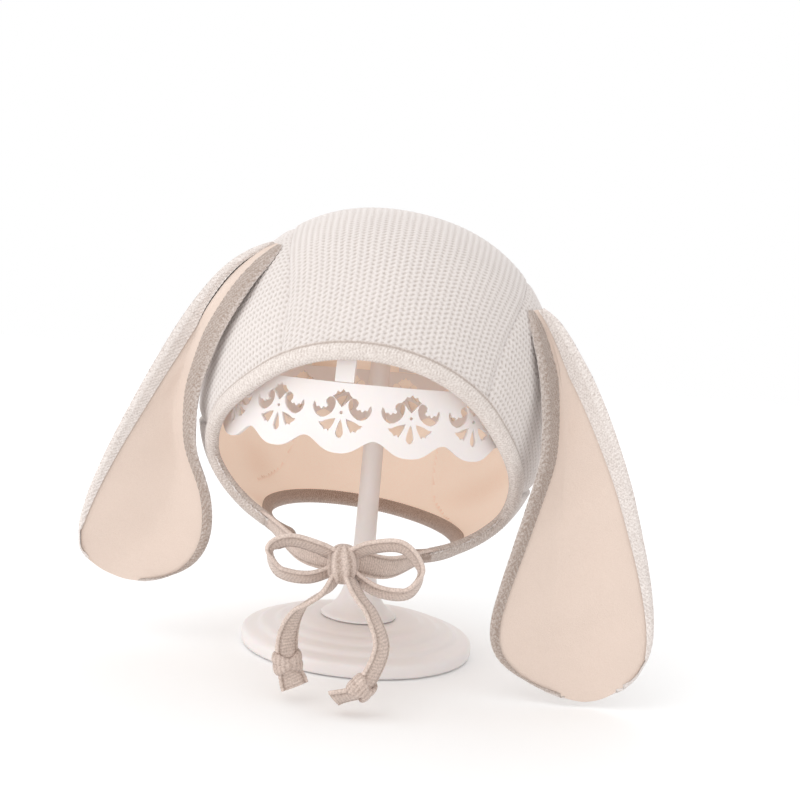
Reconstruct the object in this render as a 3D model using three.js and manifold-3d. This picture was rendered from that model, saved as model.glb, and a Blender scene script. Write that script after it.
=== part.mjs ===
// A baby's knitted bonnet with long lop ears and chin ties, shown on a small white display stand.
// Millimetres, +Z up. The origin is the centre of the stand's flat underside, the face opening looks
// along -Y, and +X is to the right of somebody who looks into the face opening.

import * as THREE from 'three';
import { mergeVertices } from 'three/addons/utils/BufferGeometryUtils.js';
import Module from 'manifold-3d';

// Fit and cloth
const clearance = 0.3;
const clothWall = 2;
const liningWall = 1;
const earClothWall = 1.6;
const earLiningWall = 1.2;

// Bonnet: a shell that is cut to fit a head of about 46 cm round
const headHalfWidth = 77;
const headDepthShare = 1;
const headHalfDepth = headHalfWidth * headDepthShare;
const crownRise = 84;
const crownFullness = 2.25;
const headDrop = 64;
const lowerFullness = 2.6;
const neckDepthKeep = 0.5;
const leanDegrees = 7.5;
const bindingWidth = 7.5;
const bindingThickness = 5.4;
const neckBindingWidth = 7;
const neckFront = -headDrop * 0.89;
const neckBack = -headDrop * 0.86;
const neckTilt = 0.05;
const centrePanelHalfWidth = headHalfWidth * 0.675;

// Ears
const earLength = 156;
const earSeenWidth = 66;
const earBorder = 7;
const earStandOff = 3.5;

// Ties and bow
const tieWidth = 9.5;
const tieThickness = 2.4;
const knotWidth = 12;
const knotDepth = 11;
const knotHeight = 14;
const knotForward = headHalfDepth * 1.065;
const knotDrop = headDrop * 0.89;
const loopReach = 27;
const tieSag = 3;
const tailLength = 58;
const tailKnotWidth = 10;

// Stand: tall enough for the tails and the ears to hang clear of the table. The ring just fits
// inside the lining, and its lower edge, where the bonnet leans on it, is the tightest place.
const tableGap = 3;
const tailHang = knotDrop + tailLength * 0.914;
const earHang = earLength * 0.97 - crownRise * 0.56 + tableGap;
const pivotHeight = Math.max(tailHang, earHang);
const baseRadius = 51.5;
const baseRim = 5;
const baseHeight = 13;
const postFootRadius = 17;
const postFootRim = 1.5;
const postRadiusLow = 4.8;
const postRadiusHigh = 4.4;
const postConeHeight = 26;
const ringHeight = 27;
const ringTop = pivotHeight + ringHeight * 0.386;
const ringLow = ringTop - ringHeight;
const ringMiddle = ringLow + ringHeight * 0.56;
const ringWall = 1.6;
const ringSlope = 0.09;
const ringFit = 1.4;
const lean = THREE.MathUtils.degToRad(leanDegrees);
const bonnetInside = Math.min(headHalfWidth, headHalfDepth) - clothWall - clearance - liningWall;
const ringLowRadius = (bonnetInside - ringFit - (pivotHeight - ringLow) * Math.sin(lean)) / Math.cos(lean);
const ringRadius = ringLowRadius - ringSlope * (ringMiddle - ringLow);
const scallopDepth = 5.6;
const palmetteCount = 16;
const ribCount = 8;
const ribWidth = 7.5;
const ribWall = 2;
const hubRadius = 13;
const hubHeight = 4;
const hubTop = pivotHeight + crownRise * 0.905;

const wasm = await Module();
wasm.setup();

// A closed geometry as a solid, and a solid as a geometry
function solidOf(geometry) {
  const bare = geometry.clone();
  bare.deleteAttribute('normal');
  bare.deleteAttribute('uv');
  const merged = mergeVertices(bare, 1e-4);
  const vertProperties = new Float32Array(merged.attributes.position.array);
  const triVerts = new Uint32Array(merged.index.array);
  return new wasm.Manifold(new wasm.Mesh({ numProp: 3, vertProperties, triVerts }));
}

function geometryOf(solid) {
  const { vertProperties, triVerts } = solid.getMesh();
  const geometry = new THREE.BufferGeometry();
  geometry.setAttribute('position', new THREE.BufferAttribute(new Float32Array(vertProperties), 3));
  geometry.setIndex(new THREE.BufferAttribute(new Uint32Array(triVerts), 1));
  geometry.computeVertexNormals();
  return geometry;
}

// A tube of rings: each ring is a list of points. The two ends are closed from one side of the ring
// across to the other, so that the end of a thin curved sheet stays within its thickness.
function skinOf(rings) {
  const sides = rings[0].length;
  const points = rings.flat();
  const index = [];
  for (let row = 0; row < rings.length - 1; row++) {
    for (let side = 0; side < sides; side++) {
      const along = (side + 1) % sides;
      const a = row * sides + side;
      const b = row * sides + along;
      index.push(a, b, b + sides, a, b + sides, a + sides);
    }
  }
  const end = (rings.length - 1) * sides;
  for (let near = 0; near + 1 < sides - 1 - near; near++) {
    const far = sides - 1 - near;
    index.push(near, far, near + 1);
    index.push(end + near, end + near + 1, end + far);
    if (near + 1 < far - 1) {
      index.push(near + 1, far, far - 1);
      index.push(end + near + 1, end + far - 1, end + far);
    }
  }
  const geometry = new THREE.BufferGeometry();
  const flat = new Float32Array(points.flatMap((p) => [p.x, p.y, p.z]));
  geometry.setAttribute('position', new THREE.BufferAttribute(flat, 3));
  geometry.setIndex(index);
  return solidVolume(geometry) < 0 ? flipped(geometry) : geometry;
}

function solidVolume(geometry) {
  const p = geometry.attributes.position;
  const i = geometry.index.array;
  const [a, b, c] = [new THREE.Vector3(), new THREE.Vector3(), new THREE.Vector3()];
  let sum = 0;
  for (let k = 0; k < i.length; k += 3) {
    a.fromBufferAttribute(p, i[k]);
    b.fromBufferAttribute(p, i[k + 1]);
    c.fromBufferAttribute(p, i[k + 2]);
    sum += a.dot(b.cross(c)) / 6;
  }
  return sum;
}

function flipped(geometry) {
  const i = geometry.index.array;
  for (let k = 0; k < i.length; k += 3) {
    [i[k + 1], i[k + 2]] = [i[k + 2], i[k + 1]];
  }
  return geometry;
}

// A value read from a table of rows, with straight lines between its rows
function fromTable(rows, share, column) {
  const last = rows.length - 1;
  if (share <= rows[0].share) {
    return rows[0][column];
  }
  for (let k = 0; k < last; k++) {
    const [low, high] = [rows[k], rows[k + 1]];
    if (share <= high.share) {
      const part = (share - low.share) / (high.share - low.share);
      return low[column] + (high[column] - low[column]) * part;
    }
  }
  return rows[last][column];
}

const material = (color, roughness) => new THREE.MeshStandardMaterial({ color, roughness, metalness: 0 });
const waffleCloth = material(0xf1e6d8, 0.95);
const liningCloth = material(0xf7ecdc, 0.95);
const ribCloth = material(0xcdbba8, 0.95);
const earLiningCloth = material(0xfbf4ea, 0.95);
const whitePlastic = material(0xf7f5f2, 0.45);

const model = new THREE.Group();
const hat = new THREE.Group();
hat.position.set(0, 0, pivotHeight);
hat.rotation.y = lean;
hat.updateMatrix();
model.add(hat);

function addPiece(parent, name, geometry, finish) {
  const piece = new THREE.Mesh(geometry, finish);
  piece.name = name;
  parent.add(piece);
}

// Head form: full at the crown, drawn in below towards the neck, and shrunk by an inset.
// Half sizes of its level section at height z
function headSection(z, inset = 0) {
  const [height, fullness] = z > 0 ? [crownRise - inset, crownFullness] : [headDrop - inset, lowerFullness];
  const rest = Math.max(1 - Math.abs(z / height) ** fullness, 0) ** (1 / fullness);
  const keep = z > 0 ? 0 : neckDepthKeep;
  return { x: (headHalfWidth - inset) * rest, y: (headHalfDepth - inset) * (rest + (1 - rest) * keep) };
}

function headSurface(x, z, inset = 0) {
  const half = headSection(z, inset);
  return -half.y * Math.sqrt(Math.max(1 - (x / half.x) ** 2, 0));
}

function headNormal(point) {
  const step = 0.5;
  const level = (x, y, z) => {
    const half = headSection(z);
    return Math.hypot(x / half.x, y / half.y);
  };
  const { x, y, z } = point;
  const here = level(x, y, z);
  return new THREE.Vector3(level(x + step, y, z) - here, level(x, y + step, z) - here,
    level(x, y, z + step) - here).normalize();
}

function headSolid(inset) {
  const [around, up] = [28, 14];
  const ball = new THREE.SphereGeometry(1, around, up);
  ball.rotateX(Math.PI / 2);
  const p = ball.attributes.position;
  for (let k = 0; k < p.count; k++) {
    const share = p.getZ(k);
    const z = share * ((share > 0 ? crownRise : headDrop) - inset);
    const half = headSection(z * 0.9999, inset);
    const level = Math.hypot(p.getX(k), p.getY(k));
    const turn = level > 1e-6 ? [p.getX(k) / level, p.getY(k) / level] : [0, 0];
    p.setXYZ(k, turn[0] * half.x, turn[1] * half.y, z);
  }
  return solidOf(ball);
}

// Rings of an oval section that lies flat on the head form along a path
function bindingRings(path, halfWidth, halfThickness) {
  const corners = [[1, 0], [0.72, 0.8], [-0.72, 0.8], [-1, 0], [-0.72, -0.8], [0.72, -0.8]];
  return path.map((point, k) => {
    const before = path[Math.max(k - 1, 0)];
    const after = path[Math.min(k + 1, path.length - 1)];
    const along = after.clone().sub(before).normalize();
    const across = new THREE.Vector3().crossVectors(along, headNormal(point)).normalize();
    const normal = new THREE.Vector3().crossVectors(across, along).normalize();
    return corners.map(([w, t]) => point.clone()
      .addScaledVector(across, w * halfWidth)
      .addScaledVector(normal, t * halfThickness));
  });
}

const bindingInset = (clothWall + clearance + liningWall) / 2;

// Face opening: half of its outline, as shares of the half width and of the rise or drop
const faceTable = [
  { share: 0.00, x: 0.00, z: 0.275 },
  { share: 0.10, x: 0.27, z: 0.240 },
  { share: 0.20, x: 0.50, z: 0.140 },
  { share: 0.32, x: 0.68, z: -0.020 },
  { share: 0.44, x: 0.79, z: -0.200 },
  { share: 0.56, x: 0.83, z: -0.370 },
  { share: 0.68, x: 0.81, z: -0.540 },
  { share: 0.80, x: 0.71, z: -0.680 },
  { share: 0.91, x: 0.57, z: -0.790 },
  { share: 1.00, x: 0.42, z: -0.860 },
];

function facePoint(share, inset) {
  const side = Math.sign(share);
  const x = side * fromTable(faceTable, Math.abs(share), 'x') * headHalfWidth;
  const zShare = fromTable(faceTable, Math.abs(share), 'z');
  const z = zShare * (zShare > 0 ? crownRise : headDrop);
  return new THREE.Vector3(x, headSurface(x, z, inset), z);
}

const rightStops = faceTable.map((row) => row.share);
const faceStops = [...rightStops.slice(1).reverse().map((share) => -share), ...rightStops];
const faceCurve = new THREE.CatmullRomCurve3(faceStops.map((share) => facePoint(share, bindingInset)));
const facePath = faceCurve.getPoints(32);

// The cutter that opens the face: the outline seen from the front, run down past the neck
function faceCutter() {
  const outline = new THREE.Shape();
  const below = -headDrop * 1.3;
  outline.moveTo(facePath[0].x, below);
  facePath.forEach((point) => outline.lineTo(point.x, point.z));
  outline.lineTo(facePath[facePath.length - 1].x, below);
  outline.closePath();
  const prism = new THREE.ExtrudeGeometry(outline, { depth: headHalfDepth * 1.3, bevelEnabled: false });
  prism.rotateX(Math.PI / 2);
  return solidOf(prism);
}

function neckHeight(x, y) {
  const part = (y + headHalfDepth) / (2 * headHalfDepth);
  return neckFront + (neckBack - neckFront) * part + neckTilt * x;
}

// Everything below the sloping neck edge: a deep block whose top is the neck's plane
function neckCutter() {
  const reach = headHalfDepth * 1.4;
  const block = new THREE.BoxGeometry(2 * reach, 2 * reach, 1);
  const p = block.attributes.position;
  for (let k = 0; k < p.count; k++) {
    const [x, y] = [p.getX(k), p.getY(k)];
    p.setZ(k, p.getZ(k) > 0 ? neckHeight(x, y) : -headDrop * 2);
  }
  return solidOf(block);
}

function neckPoint(angle) {
  const [sin, cos] = [Math.sin(angle), -Math.cos(angle)];
  let z = neckBack;
  let half = headSection(z, bindingInset);
  for (let turn = 0; turn < 6; turn++) {
    z = neckHeight(sin * half.x, cos * half.y);
    half = headSection(z, bindingInset);
  }
  return new THREE.Vector3(sin * half.x, cos * half.y, z);
}

const neckStart = 0.72;
const neckPath = [];
const neckSteps = 32;
for (let k = 0; k <= neckSteps; k++) {
  const angle = neckStart + (2 * Math.PI - 2 * neckStart) * (k / neckSteps);
  neckPath.push(neckPoint(angle));
}

const frontBinding = solidOf(skinOf(bindingRings(facePath, bindingWidth / 2, bindingThickness / 2)));
const roomForFront = solidOf(skinOf(
  bindingRings(facePath, bindingWidth / 2 + clearance, bindingThickness / 2 + clearance)));
const neckBinding = solidOf(skinOf(bindingRings(neckPath, neckBindingWidth / 2, bindingThickness / 2)))
  .subtract(roomForFront);
const roomForNeck = solidOf(skinOf(
  bindingRings(neckPath, neckBindingWidth / 2 + clearance, bindingThickness / 2 + clearance)));

// Largest connected body of a solid, so that slivers beside a cut fall away
function mainBody(solid) {
  return solid.decompose().sort((a, b) => b.volume() - a.volume())[0];
}

const cutters = [faceCutter(), neckCutter(), roomForFront, roomForNeck];
const clothShell = cutters.reduce((rest, cutter) => rest.subtract(cutter), headSolid(0)
  .subtract(headSolid(clothWall)));
const liningShell = cutters.reduce((rest, cutter) => rest.subtract(cutter),
  headSolid(clothWall + clearance).subtract(headSolid(clothWall + clearance + liningWall)));

// Centre panel seen from above: its half width as a share, from the front edge to the nape
const panelTable = [
  { share: -1.3, width: 0.66 },
  { share: -0.84, width: 0.79 },
  { share: -0.52, width: 0.95 },
  { share: -0.10, width: 1.00 },
  { share: 0.30, width: 0.95 },
  { share: 0.70, width: 0.74 },
  { share: 1.3, width: 0.55 },
];

function panelCutter(extra) {
  const outline = new THREE.Shape();
  const halfWidth = (row) => row.width * centrePanelHalfWidth + extra;
  panelTable.forEach((row, k) => {
    const corner = [halfWidth(row), row.share * headHalfDepth];
    k ? outline.lineTo(...corner) : outline.moveTo(...corner);
  });
  [...panelTable].reverse().forEach((row) => outline.lineTo(-halfWidth(row), row.share * headHalfDepth));
  outline.closePath();
  const height = (crownRise + headDrop) * 1.2;
  const prism = new THREE.ExtrudeGeometry(outline, { depth: height, bevelEnabled: false });
  prism.translate(0, 0, -height / 2);
  return solidOf(prism);
}

const centrePanel = mainBody(clothShell.intersect(panelCutter(0)));
const sidePanels = clothShell.subtract(panelCutter(clearance)).decompose()
  .sort((a, b) => b.volume() - a.volume()).slice(0, 2)
  .sort((a, b) => a.boundingBox().min[0] - b.boundingBox().min[0]);

addPiece(hat, 'centre_panel', geometryOf(centrePanel), waffleCloth);
addPiece(hat, 'side_panel_left', geometryOf(sidePanels[0]), waffleCloth);
addPiece(hat, 'side_panel_right', geometryOf(sidePanels[1]), waffleCloth);
addPiece(hat, 'lining', geometryOf(mainBody(liningShell)), liningCloth);
addPiece(hat, 'front_band', geometryOf(frontBinding), ribCloth);
addPiece(hat, 'neck_band', geometryOf(mainBody(neckBinding)), ribCloth);

// A point of the leaning bonnet in the stand's frame
function onHat(x, y, z) {
  return new THREE.Vector3(x, y, z).applyMatrix4(hat.matrix);
}

// Ears. Each row gives both side edges and the fold's depth at a share of the length: edges as shares
// of the ear's seen width, across the ear's line, and depths as shares of it too, behind the edges.
const leftEarTable = [
  { share: 0.00, left: -0.05, right: 0.02, valley: 0.70, depth: 0.04, swing: 0.00 },
  { share: 0.05, left: -0.17, right: 0.00, valley: 0.70, depth: 0.05, swing: 0.00 },
  { share: 0.10, left: -0.25, right: -0.04, valley: 0.70, depth: 0.07, swing: 0.02 },
  { share: 0.20, left: -0.33, right: -0.08, valley: 0.72, depth: 0.08, swing: 0.04 },
  { share: 0.30, left: -0.38, right: -0.11, valley: 0.76, depth: 0.09, swing: 0.06 },
  { share: 0.45, left: -0.43, right: -0.10, valley: 0.73, depth: 0.10, swing: 0.07 },
  { share: 0.60, left: -0.47, right: 0.02, valley: 0.68, depth: 0.12, swing: 0.06 },
  { share: 0.70, left: -0.49, right: 0.23, valley: 0.62, depth: 0.12, swing: 0.05 },
  { share: 0.80, left: -0.50, right: 0.32, valley: 0.57, depth: 0.10, swing: 0.03 },
  { share: 0.88, left: -0.49, right: 0.31, valley: 0.54, depth: 0.08, swing: 0.02 },
  { share: 0.94, left: -0.47, right: 0.22, valley: 0.51, depth: 0.06, swing: 0.00 },
  { share: 0.98, left: -0.43, right: 0.10, valley: 0.50, depth: 0.05, swing: 0.00 },
  { share: 1.00, left: -0.34, right: 0.00, valley: 0.50, depth: 0.04, swing: 0.00 },
];

const rightEarTable = [
  { share: 0.00, left: 0.00, right: 0.10, valley: 0.45, depth: 0.04, swing: 0.00 },
  { share: 0.05, left: 0.01, right: 0.20, valley: 0.45, depth: 0.06, swing: 0.00 },
  { share: 0.10, left: 0.02, right: 0.24, valley: 0.44, depth: 0.09, swing: 0.02 },
  { share: 0.20, left: 0.03, right: 0.33, valley: 0.42, depth: 0.13, swing: 0.05 },
  { share: 0.30, left: 0.01, right: 0.39, valley: 0.38, depth: 0.16, swing: 0.07 },
  { share: 0.40, left: -0.03, right: 0.44, valley: 0.36, depth: 0.17, swing: 0.07 },
  { share: 0.50, left: -0.14, right: 0.48, valley: 0.36, depth: 0.16, swing: 0.06 },
  { share: 0.60, left: -0.25, right: 0.50, valley: 0.38, depth: 0.14, swing: 0.05 },
  { share: 0.70, left: -0.36, right: 0.52, valley: 0.41, depth: 0.11, swing: 0.03 },
  { share: 0.80, left: -0.46, right: 0.52, valley: 0.44, depth: 0.09, swing: 0.02 },
  { share: 0.88, left: -0.46, right: 0.50, valley: 0.47, depth: 0.08, swing: 0.01 },
  { share: 0.94, left: -0.32, right: 0.45, valley: 0.49, depth: 0.06, swing: 0.00 },
  { share: 0.98, left: -0.16, right: 0.36, valley: 0.50, depth: 0.05, swing: 0.00 },
  { share: 1.00, left: -0.06, right: 0.24, valley: 0.50, depth: 0.03, swing: 0.00 },
];

// Where each ear is sewn in, on the crown at the seam beside the centre panel, and how it hangs.
// The root's place is given as shares of the centre panel's half width and of the head's half depth.
const ears = [
  { name: 'left', sign: -1, rootSide: 1.035, rootFront: 0.377, hang: [-0.319, 0.058, -0.946],
    table: leftEarTable },
  { name: 'right', sign: 1, rootSide: 0.993, rootFront: 0.487, hang: [0.197, -0.158, -0.968],
    table: rightEarTable },
];

function earRoot(ear) {
  const x = ear.sign * ear.rootSide * centrePanelHalfWidth;
  const y = -ear.rootFront * headHalfDepth;
  let [low, high] = [0, crownRise];
  for (let turn = 0; turn < 30; turn++) {
    const z = (low + high) / 2;
    const half = headSection(z);
    const inside = half.x > 0 && Math.hypot(x / half.x, y / half.y) < 1;
    [low, high] = inside ? [z, high] : [low, z];
  }
  return onHat(x, y, low);
}

// An ear is draped over the side of the head: every point of it lies before the bonnet's front, and
// past a share of the half width before the tangent that leaves the head there
const drapeShare = 0.8;
const drapeSlope = drapeShare / Math.sqrt(1 - drapeShare ** 2);

function draped(point, standOff) {
  const onHead = point.clone().applyMatrix4(hat.matrix.clone().invert());
  const half = headSection(onHead.z, -standOff);
  if (half.x > 0) {
    const near = Math.min(Math.abs(onHead.x), half.x * drapeShare);
    const beyond = (Math.abs(onHead.x) - near) * drapeSlope * half.y / half.x;
    onHead.y = Math.min(onHead.y, headSurface(near, onHead.z, -standOff) + beyond);
  }
  return onHead.applyMatrix4(hat.matrix);
}

// A point of an ear's middle surface: share down the ear, and across it from its left edge to its right
function earPoint(ear, share, across) {
  const row = (column) => fromTable(ear.table, share, column);
  const [left, right, valley] = [row('left'), row('right'), row('valley')];
  const side = (left + (right - left) * across) * earSeenWidth;
  const toEdge = across < valley ? (valley - across) / valley : (across - valley) / (1 - valley);
  const dip = row('depth') * (1 - toEdge ** 1.4) * earSeenWidth;
  const point = ear.root.clone().addScaledVector(ear.down, share * earLength);
  point.addScaledVector(ear.across, side).addScaledVector(ear.back, dip - row('swing') * earSeenWidth);
  return draped(point, earStandOff * Math.min(share / 0.15, 1));
}

function earSheet(ear, trim, front, back) {
  const rows = 11;
  const columns = 6;
  const rings = [];
  for (let r = 0; r <= rows; r++) {
    const share = trim.top + (1 - trim.top - trim.low) * (r / rows);
    const width = Math.abs(fromTable(ear.table, share, 'right') - fromTable(ear.table, share, 'left'));
    const margin = Math.min(trim.side / (width * earSeenWidth), 0.3);
    const frontRow = [];
    const backRow = [];
    for (let c = 0; c <= columns; c++) {
      const across = margin + (1 - 2 * margin) * (c / columns);
      const here = earPoint(ear, share, across);
      const leftOfIt = earPoint(ear, share, Math.max(across - 0.04, 0));
      const rightOfIt = earPoint(ear, share, Math.min(across + 0.04, 1));
      const normal = new THREE.Vector3().crossVectors(rightOfIt.sub(leftOfIt), ear.down).normalize();
      if (normal.dot(ear.back) < 0) {
        normal.negate();
      }
      normal.add(ear.back).normalize();
      frontRow.push(here.clone().addScaledVector(normal, front));
      backRow.push(here.clone().addScaledVector(normal, back));
    }
    rings.push([...frontRow, ...backRow.reverse()]);
  }
  return skinOf(rings);
}

const roomForBindings = roomForFront.add(roomForNeck).transform(hat.matrix.elements);
const roomForHat = headSolid(-clearance).transform(hat.matrix.elements).add(roomForBindings);

for (const ear of ears) {
  ear.root = earRoot(ear);
  ear.down = new THREE.Vector3(...ear.hang).normalize();
  ear.back = new THREE.Vector3(0, 1, 0).addScaledVector(ear.down, -ear.down.y).normalize();
  ear.across = new THREE.Vector3().crossVectors(ear.back, ear.down).normalize();
  if (ear.across.x < 0) {
    ear.across.negate();
  }
  const whole = { top: 0, low: 0, side: 0 };
  const innerTrim = { top: 0.07, low: 0.02, side: earBorder };
  const outer = solidOf(earSheet(ear, whole, 0, earClothWall));
  const roomForOuter = solidOf(earSheet(ear, whole, -clearance, earClothWall + clearance));
  const inner = solidOf(earSheet(ear, innerTrim, -2 * clearance - earLiningWall, -2 * clearance));
  const outerBody = mainBody(outer.subtract(roomForHat));
  const innerBody = mainBody(inner.subtract(roomForHat).subtract(roomForOuter));
  addPiece(model, `ear_${ear.name}_outer`, geometryOf(outerBody), waffleCloth);
  addPiece(model, `ear_${ear.name}_inner`, geometryOf(innerBody), earLiningCloth);
}

// Straps: a flat band along a curve, whose width lies along a chosen direction
const tieSection = [[0.5, 0], [0.4, 0.5], [-0.4, 0.5], [-0.5, 0], [-0.4, -0.5], [0.4, -0.5]];
const ribSection = [[0.5, 0.5], [-0.5, 0.5], [-0.5, -0.5], [0.5, -0.5]];

function strapRings(curve, steps, wide, width, thickness, section = tieSection) {
  const rings = [];
  for (let k = 0; k <= steps; k++) {
    const share = k / steps;
    const point = curve.getPoint(share);
    const along = curve.getTangent(share);
    const across = wide.clone();
    across.addScaledVector(along, -across.dot(along)).normalize();
    const normal = new THREE.Vector3().crossVectors(across, along).normalize();
    rings.push(section.map(([w, t]) => point.clone()
      .addScaledVector(across, w * width)
      .addScaledVector(normal, t * thickness)));
  }
  return rings;
}

const knot = onHat(0, -knotForward, -knotDrop);
const knotGeometry = new THREE.SphereGeometry(0.5, 14, 8);
knotGeometry.scale(knotWidth, knotDepth, knotHeight);
knotGeometry.translate(knot.x, knot.y, knot.z);
const knotSolid = solidOf(knotGeometry);
const roomForKnot = (() => {
  const ball = new THREE.SphereGeometry(0.5, 14, 8);
  ball.scale(knotWidth + 2 * clearance, knotDepth + 2 * clearance, knotHeight + 2 * clearance);
  ball.translate(knot.x, knot.y, knot.z);
  return solidOf(ball);
})();

// Straps are laid one after another, and each later one is cut clear of those before it
let takenByStraps = roomForKnot.add(roomForBindings);

function addStrap(name, points, wide, steps, bead = null) {
  const curve = new THREE.CatmullRomCurve3(points, false, 'centripetal');
  const body = solidOf(skinOf(strapRings(curve, steps, wide, tieWidth, tieThickness)));
  const room = strapRings(curve, steps, wide, tieWidth + 2 * clearance, tieThickness + 3 * clearance);
  const whole = bead ? body.add(bead) : body;
  addPiece(model, name, geometryOf(mainBody(whole.subtract(takenByStraps))), ribCloth);
  takenByStraps = takenByStraps.add(solidOf(skinOf(room)));
}

addPiece(model, 'bow_knot', geometryOf(knotSolid), ribCloth);

// Chin ties: from each lower corner of the face opening to the back of the knot
for (const [side, sign] of [['left', -1], ['right', 1]]) {
  const corner = facePoint(sign, bindingInset);
  const start = onHat(corner.x * 0.95, corner.y - tieSag / 3, corner.z);
  const end = knot.clone().add(new THREE.Vector3(sign * knotWidth * 0.35, knotDepth * 0.42, 0));
  const middle = start.clone().lerp(end, 0.5).add(new THREE.Vector3(0, -tieSag * 0.67, -tieSag));
  addStrap(`chin_tie_${side}`, [start, middle, end], new THREE.Vector3(0, 0.25, 1).normalize(), 10);
}

// Bow loops: out from the knot and back into it. Sizes are shares of the loops' reach, and the
// turn's places are shares of the loop's own reach, rise and drop.
const loops = [
  { side: 'left', sign: -1, reach: 1.00, rise: 0.22, drop: 0.30, tilt: 0.11 },
  { side: 'right', sign: 1, reach: 1.07, rise: 0.37, drop: 0.33, tilt: -0.04 },
];
const loopTurn = [
  { x: 0.05, rise: 0.25, y: -0.08 },
  { x: 0.35, rise: 0.80, y: -0.14 },
  { x: 0.75, rise: 1.00, y: -0.20 },
  { x: 1.00, rise: 0.20, y: -0.20 },
  { x: 0.85, rise: -0.80, y: -0.16 },
  { x: 0.45, rise: -0.90, y: -0.10 },
  { x: 0.05, rise: -0.25, y: -0.08 },
];

for (const loop of loops) {
  const points = loopTurn.map((row) => {
    const upright = row.rise * (row.rise > 0 ? loop.rise : loop.drop) + row.x * loop.tilt;
    const place = new THREE.Vector3(loop.sign * row.x * loop.reach, row.y * loop.reach, upright);
    return place.multiplyScalar(loopReach).add(knot);
  });
  addStrap(`bow_loop_${loop.side}`, points, new THREE.Vector3(0, 1, -0.75).normalize(), 18);
}

// Tails: they leave the knot below the loops and hang down, each with a small knot near its end.
// Places are shares of the tail's length.
const tails = [
  { side: 'left', wide: [1, 0.3, 0.5], knot: 4, route: [
    { x: 0.00, y: -0.02, z: -0.06 }, { x: -0.10, y: -0.08, z: -0.17 }, { x: -0.25, y: -0.08, z: -0.30 },
    { x: -0.31, y: -0.06, z: -0.46 }, { x: -0.30, y: -0.04, z: -0.66 }, { x: -0.24, y: -0.03, z: -0.82 }] },
  { side: 'right', wide: [0.8, 0.62, -0.4], knot: 4, route: [
    { x: 0.03, y: -0.04, z: -0.06 }, { x: 0.11, y: -0.14, z: -0.15 }, { x: 0.22, y: -0.19, z: -0.28 },
    { x: 0.29, y: -0.22, z: -0.48 }, { x: 0.19, y: -0.22, z: -0.73 }, { x: 0.02, y: -0.20, z: -0.82 }] },
];

for (const tail of tails) {
  const points = tail.route.map((row) => knot.clone()
    .add(new THREE.Vector3(row.x, row.y, row.z).multiplyScalar(tailLength)));
  const ball = new THREE.SphereGeometry(0.5, 8, 6);
  ball.scale(tailKnotWidth, tailKnotWidth * 0.8, tailKnotWidth * 0.8);
  ball.translate(...points[tail.knot].toArray());
  const wide = new THREE.Vector3(...tail.wide).normalize();
  addStrap(`tail_${tail.side}`, points, wide, 12, solidOf(ball));
}

// Stand base: a low turned dome with three rings in its top and a flat seat for the post
const dome = baseHeight - baseRim;
const baseProfile = [
  [0, 0], [baseRadius * 0.98, 0], [baseRadius, baseRim * 0.2], [baseRadius, baseRim],
  [baseRadius * 0.955, baseRim + dome * 0.18], [baseRadius * 0.86, baseRim + dome * 0.24],
  [baseRadius * 0.84, baseRim + dome * 0.45], [baseRadius * 0.70, baseRim + dome * 0.55],
  [baseRadius * 0.68, baseRim + dome * 0.75], [baseRadius * 0.52, baseRim + dome * 0.88],
  [baseRadius * 0.50, baseHeight], [0, baseHeight],
];
const base = new THREE.LatheGeometry(baseProfile.map(([r, z]) => new THREE.Vector2(r, z)), 32);
base.rotateX(Math.PI / 2);
addPiece(model, 'stand_base', geometryOf(solidOf(base)), whitePlastic);

// Post: a slender round column with a flared foot, up to the underside of the ring's hub
const postFoot = baseHeight + clearance;
const postTop = hubTop - hubHeight - clearance;
const postProfile = [
  [0, postFoot], [postFootRadius, postFoot], [postFootRadius, postFoot + postFootRim],
  [postFootRadius * 0.62, postFoot + postConeHeight * 0.22],
  [postFootRadius * 0.38, postFoot + postConeHeight * 0.6],
  [postRadiusLow, postFoot + postConeHeight], [postRadiusHigh, postTop], [0, postTop],
];
const post = new THREE.LatheGeometry(postProfile.map(([r, z]) => new THREE.Vector2(r, z)), 20);
post.rotateX(Math.PI / 2);
addPiece(model, 'stand_post', geometryOf(solidOf(post)), whitePlastic);

// Ring: a pierced and scalloped wall round the widest part of the head
function ringOuter(z) {
  return ringRadius - ringSlope * (z - ringMiddle);
}

const pitch = (2 * Math.PI) / palmetteCount;
const wallProfile = [
  [ringOuter(ringLow), ringLow], [ringOuter(ringTop), ringTop],
  [ringOuter(ringTop) - ringWall, ringTop], [ringOuter(ringLow) - ringWall, ringLow],
  [ringOuter(ringLow), ringLow],
];
const ringWallShape = new THREE.LatheGeometry(wallProfile.map(([r, z]) => new THREE.Vector2(r, z)), 32);
ringWallShape.rotateX(Math.PI / 2);

// A prism through the wall: a shape in the plane of the wall, x along the ring and y up
function throughWall(shape, angle, curveSegments = 3) {
  const reach = ringWall * 8;
  const prism = new THREE.ExtrudeGeometry(shape, { depth: reach, bevelEnabled: false, curveSegments });
  prism.translate(0, 0, -reach / 2);
  prism.rotateX(Math.PI / 2);
  prism.translate(0, -ringRadius, ringMiddle);
  prism.rotateZ(angle);
  return solidOf(prism);
}

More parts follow.
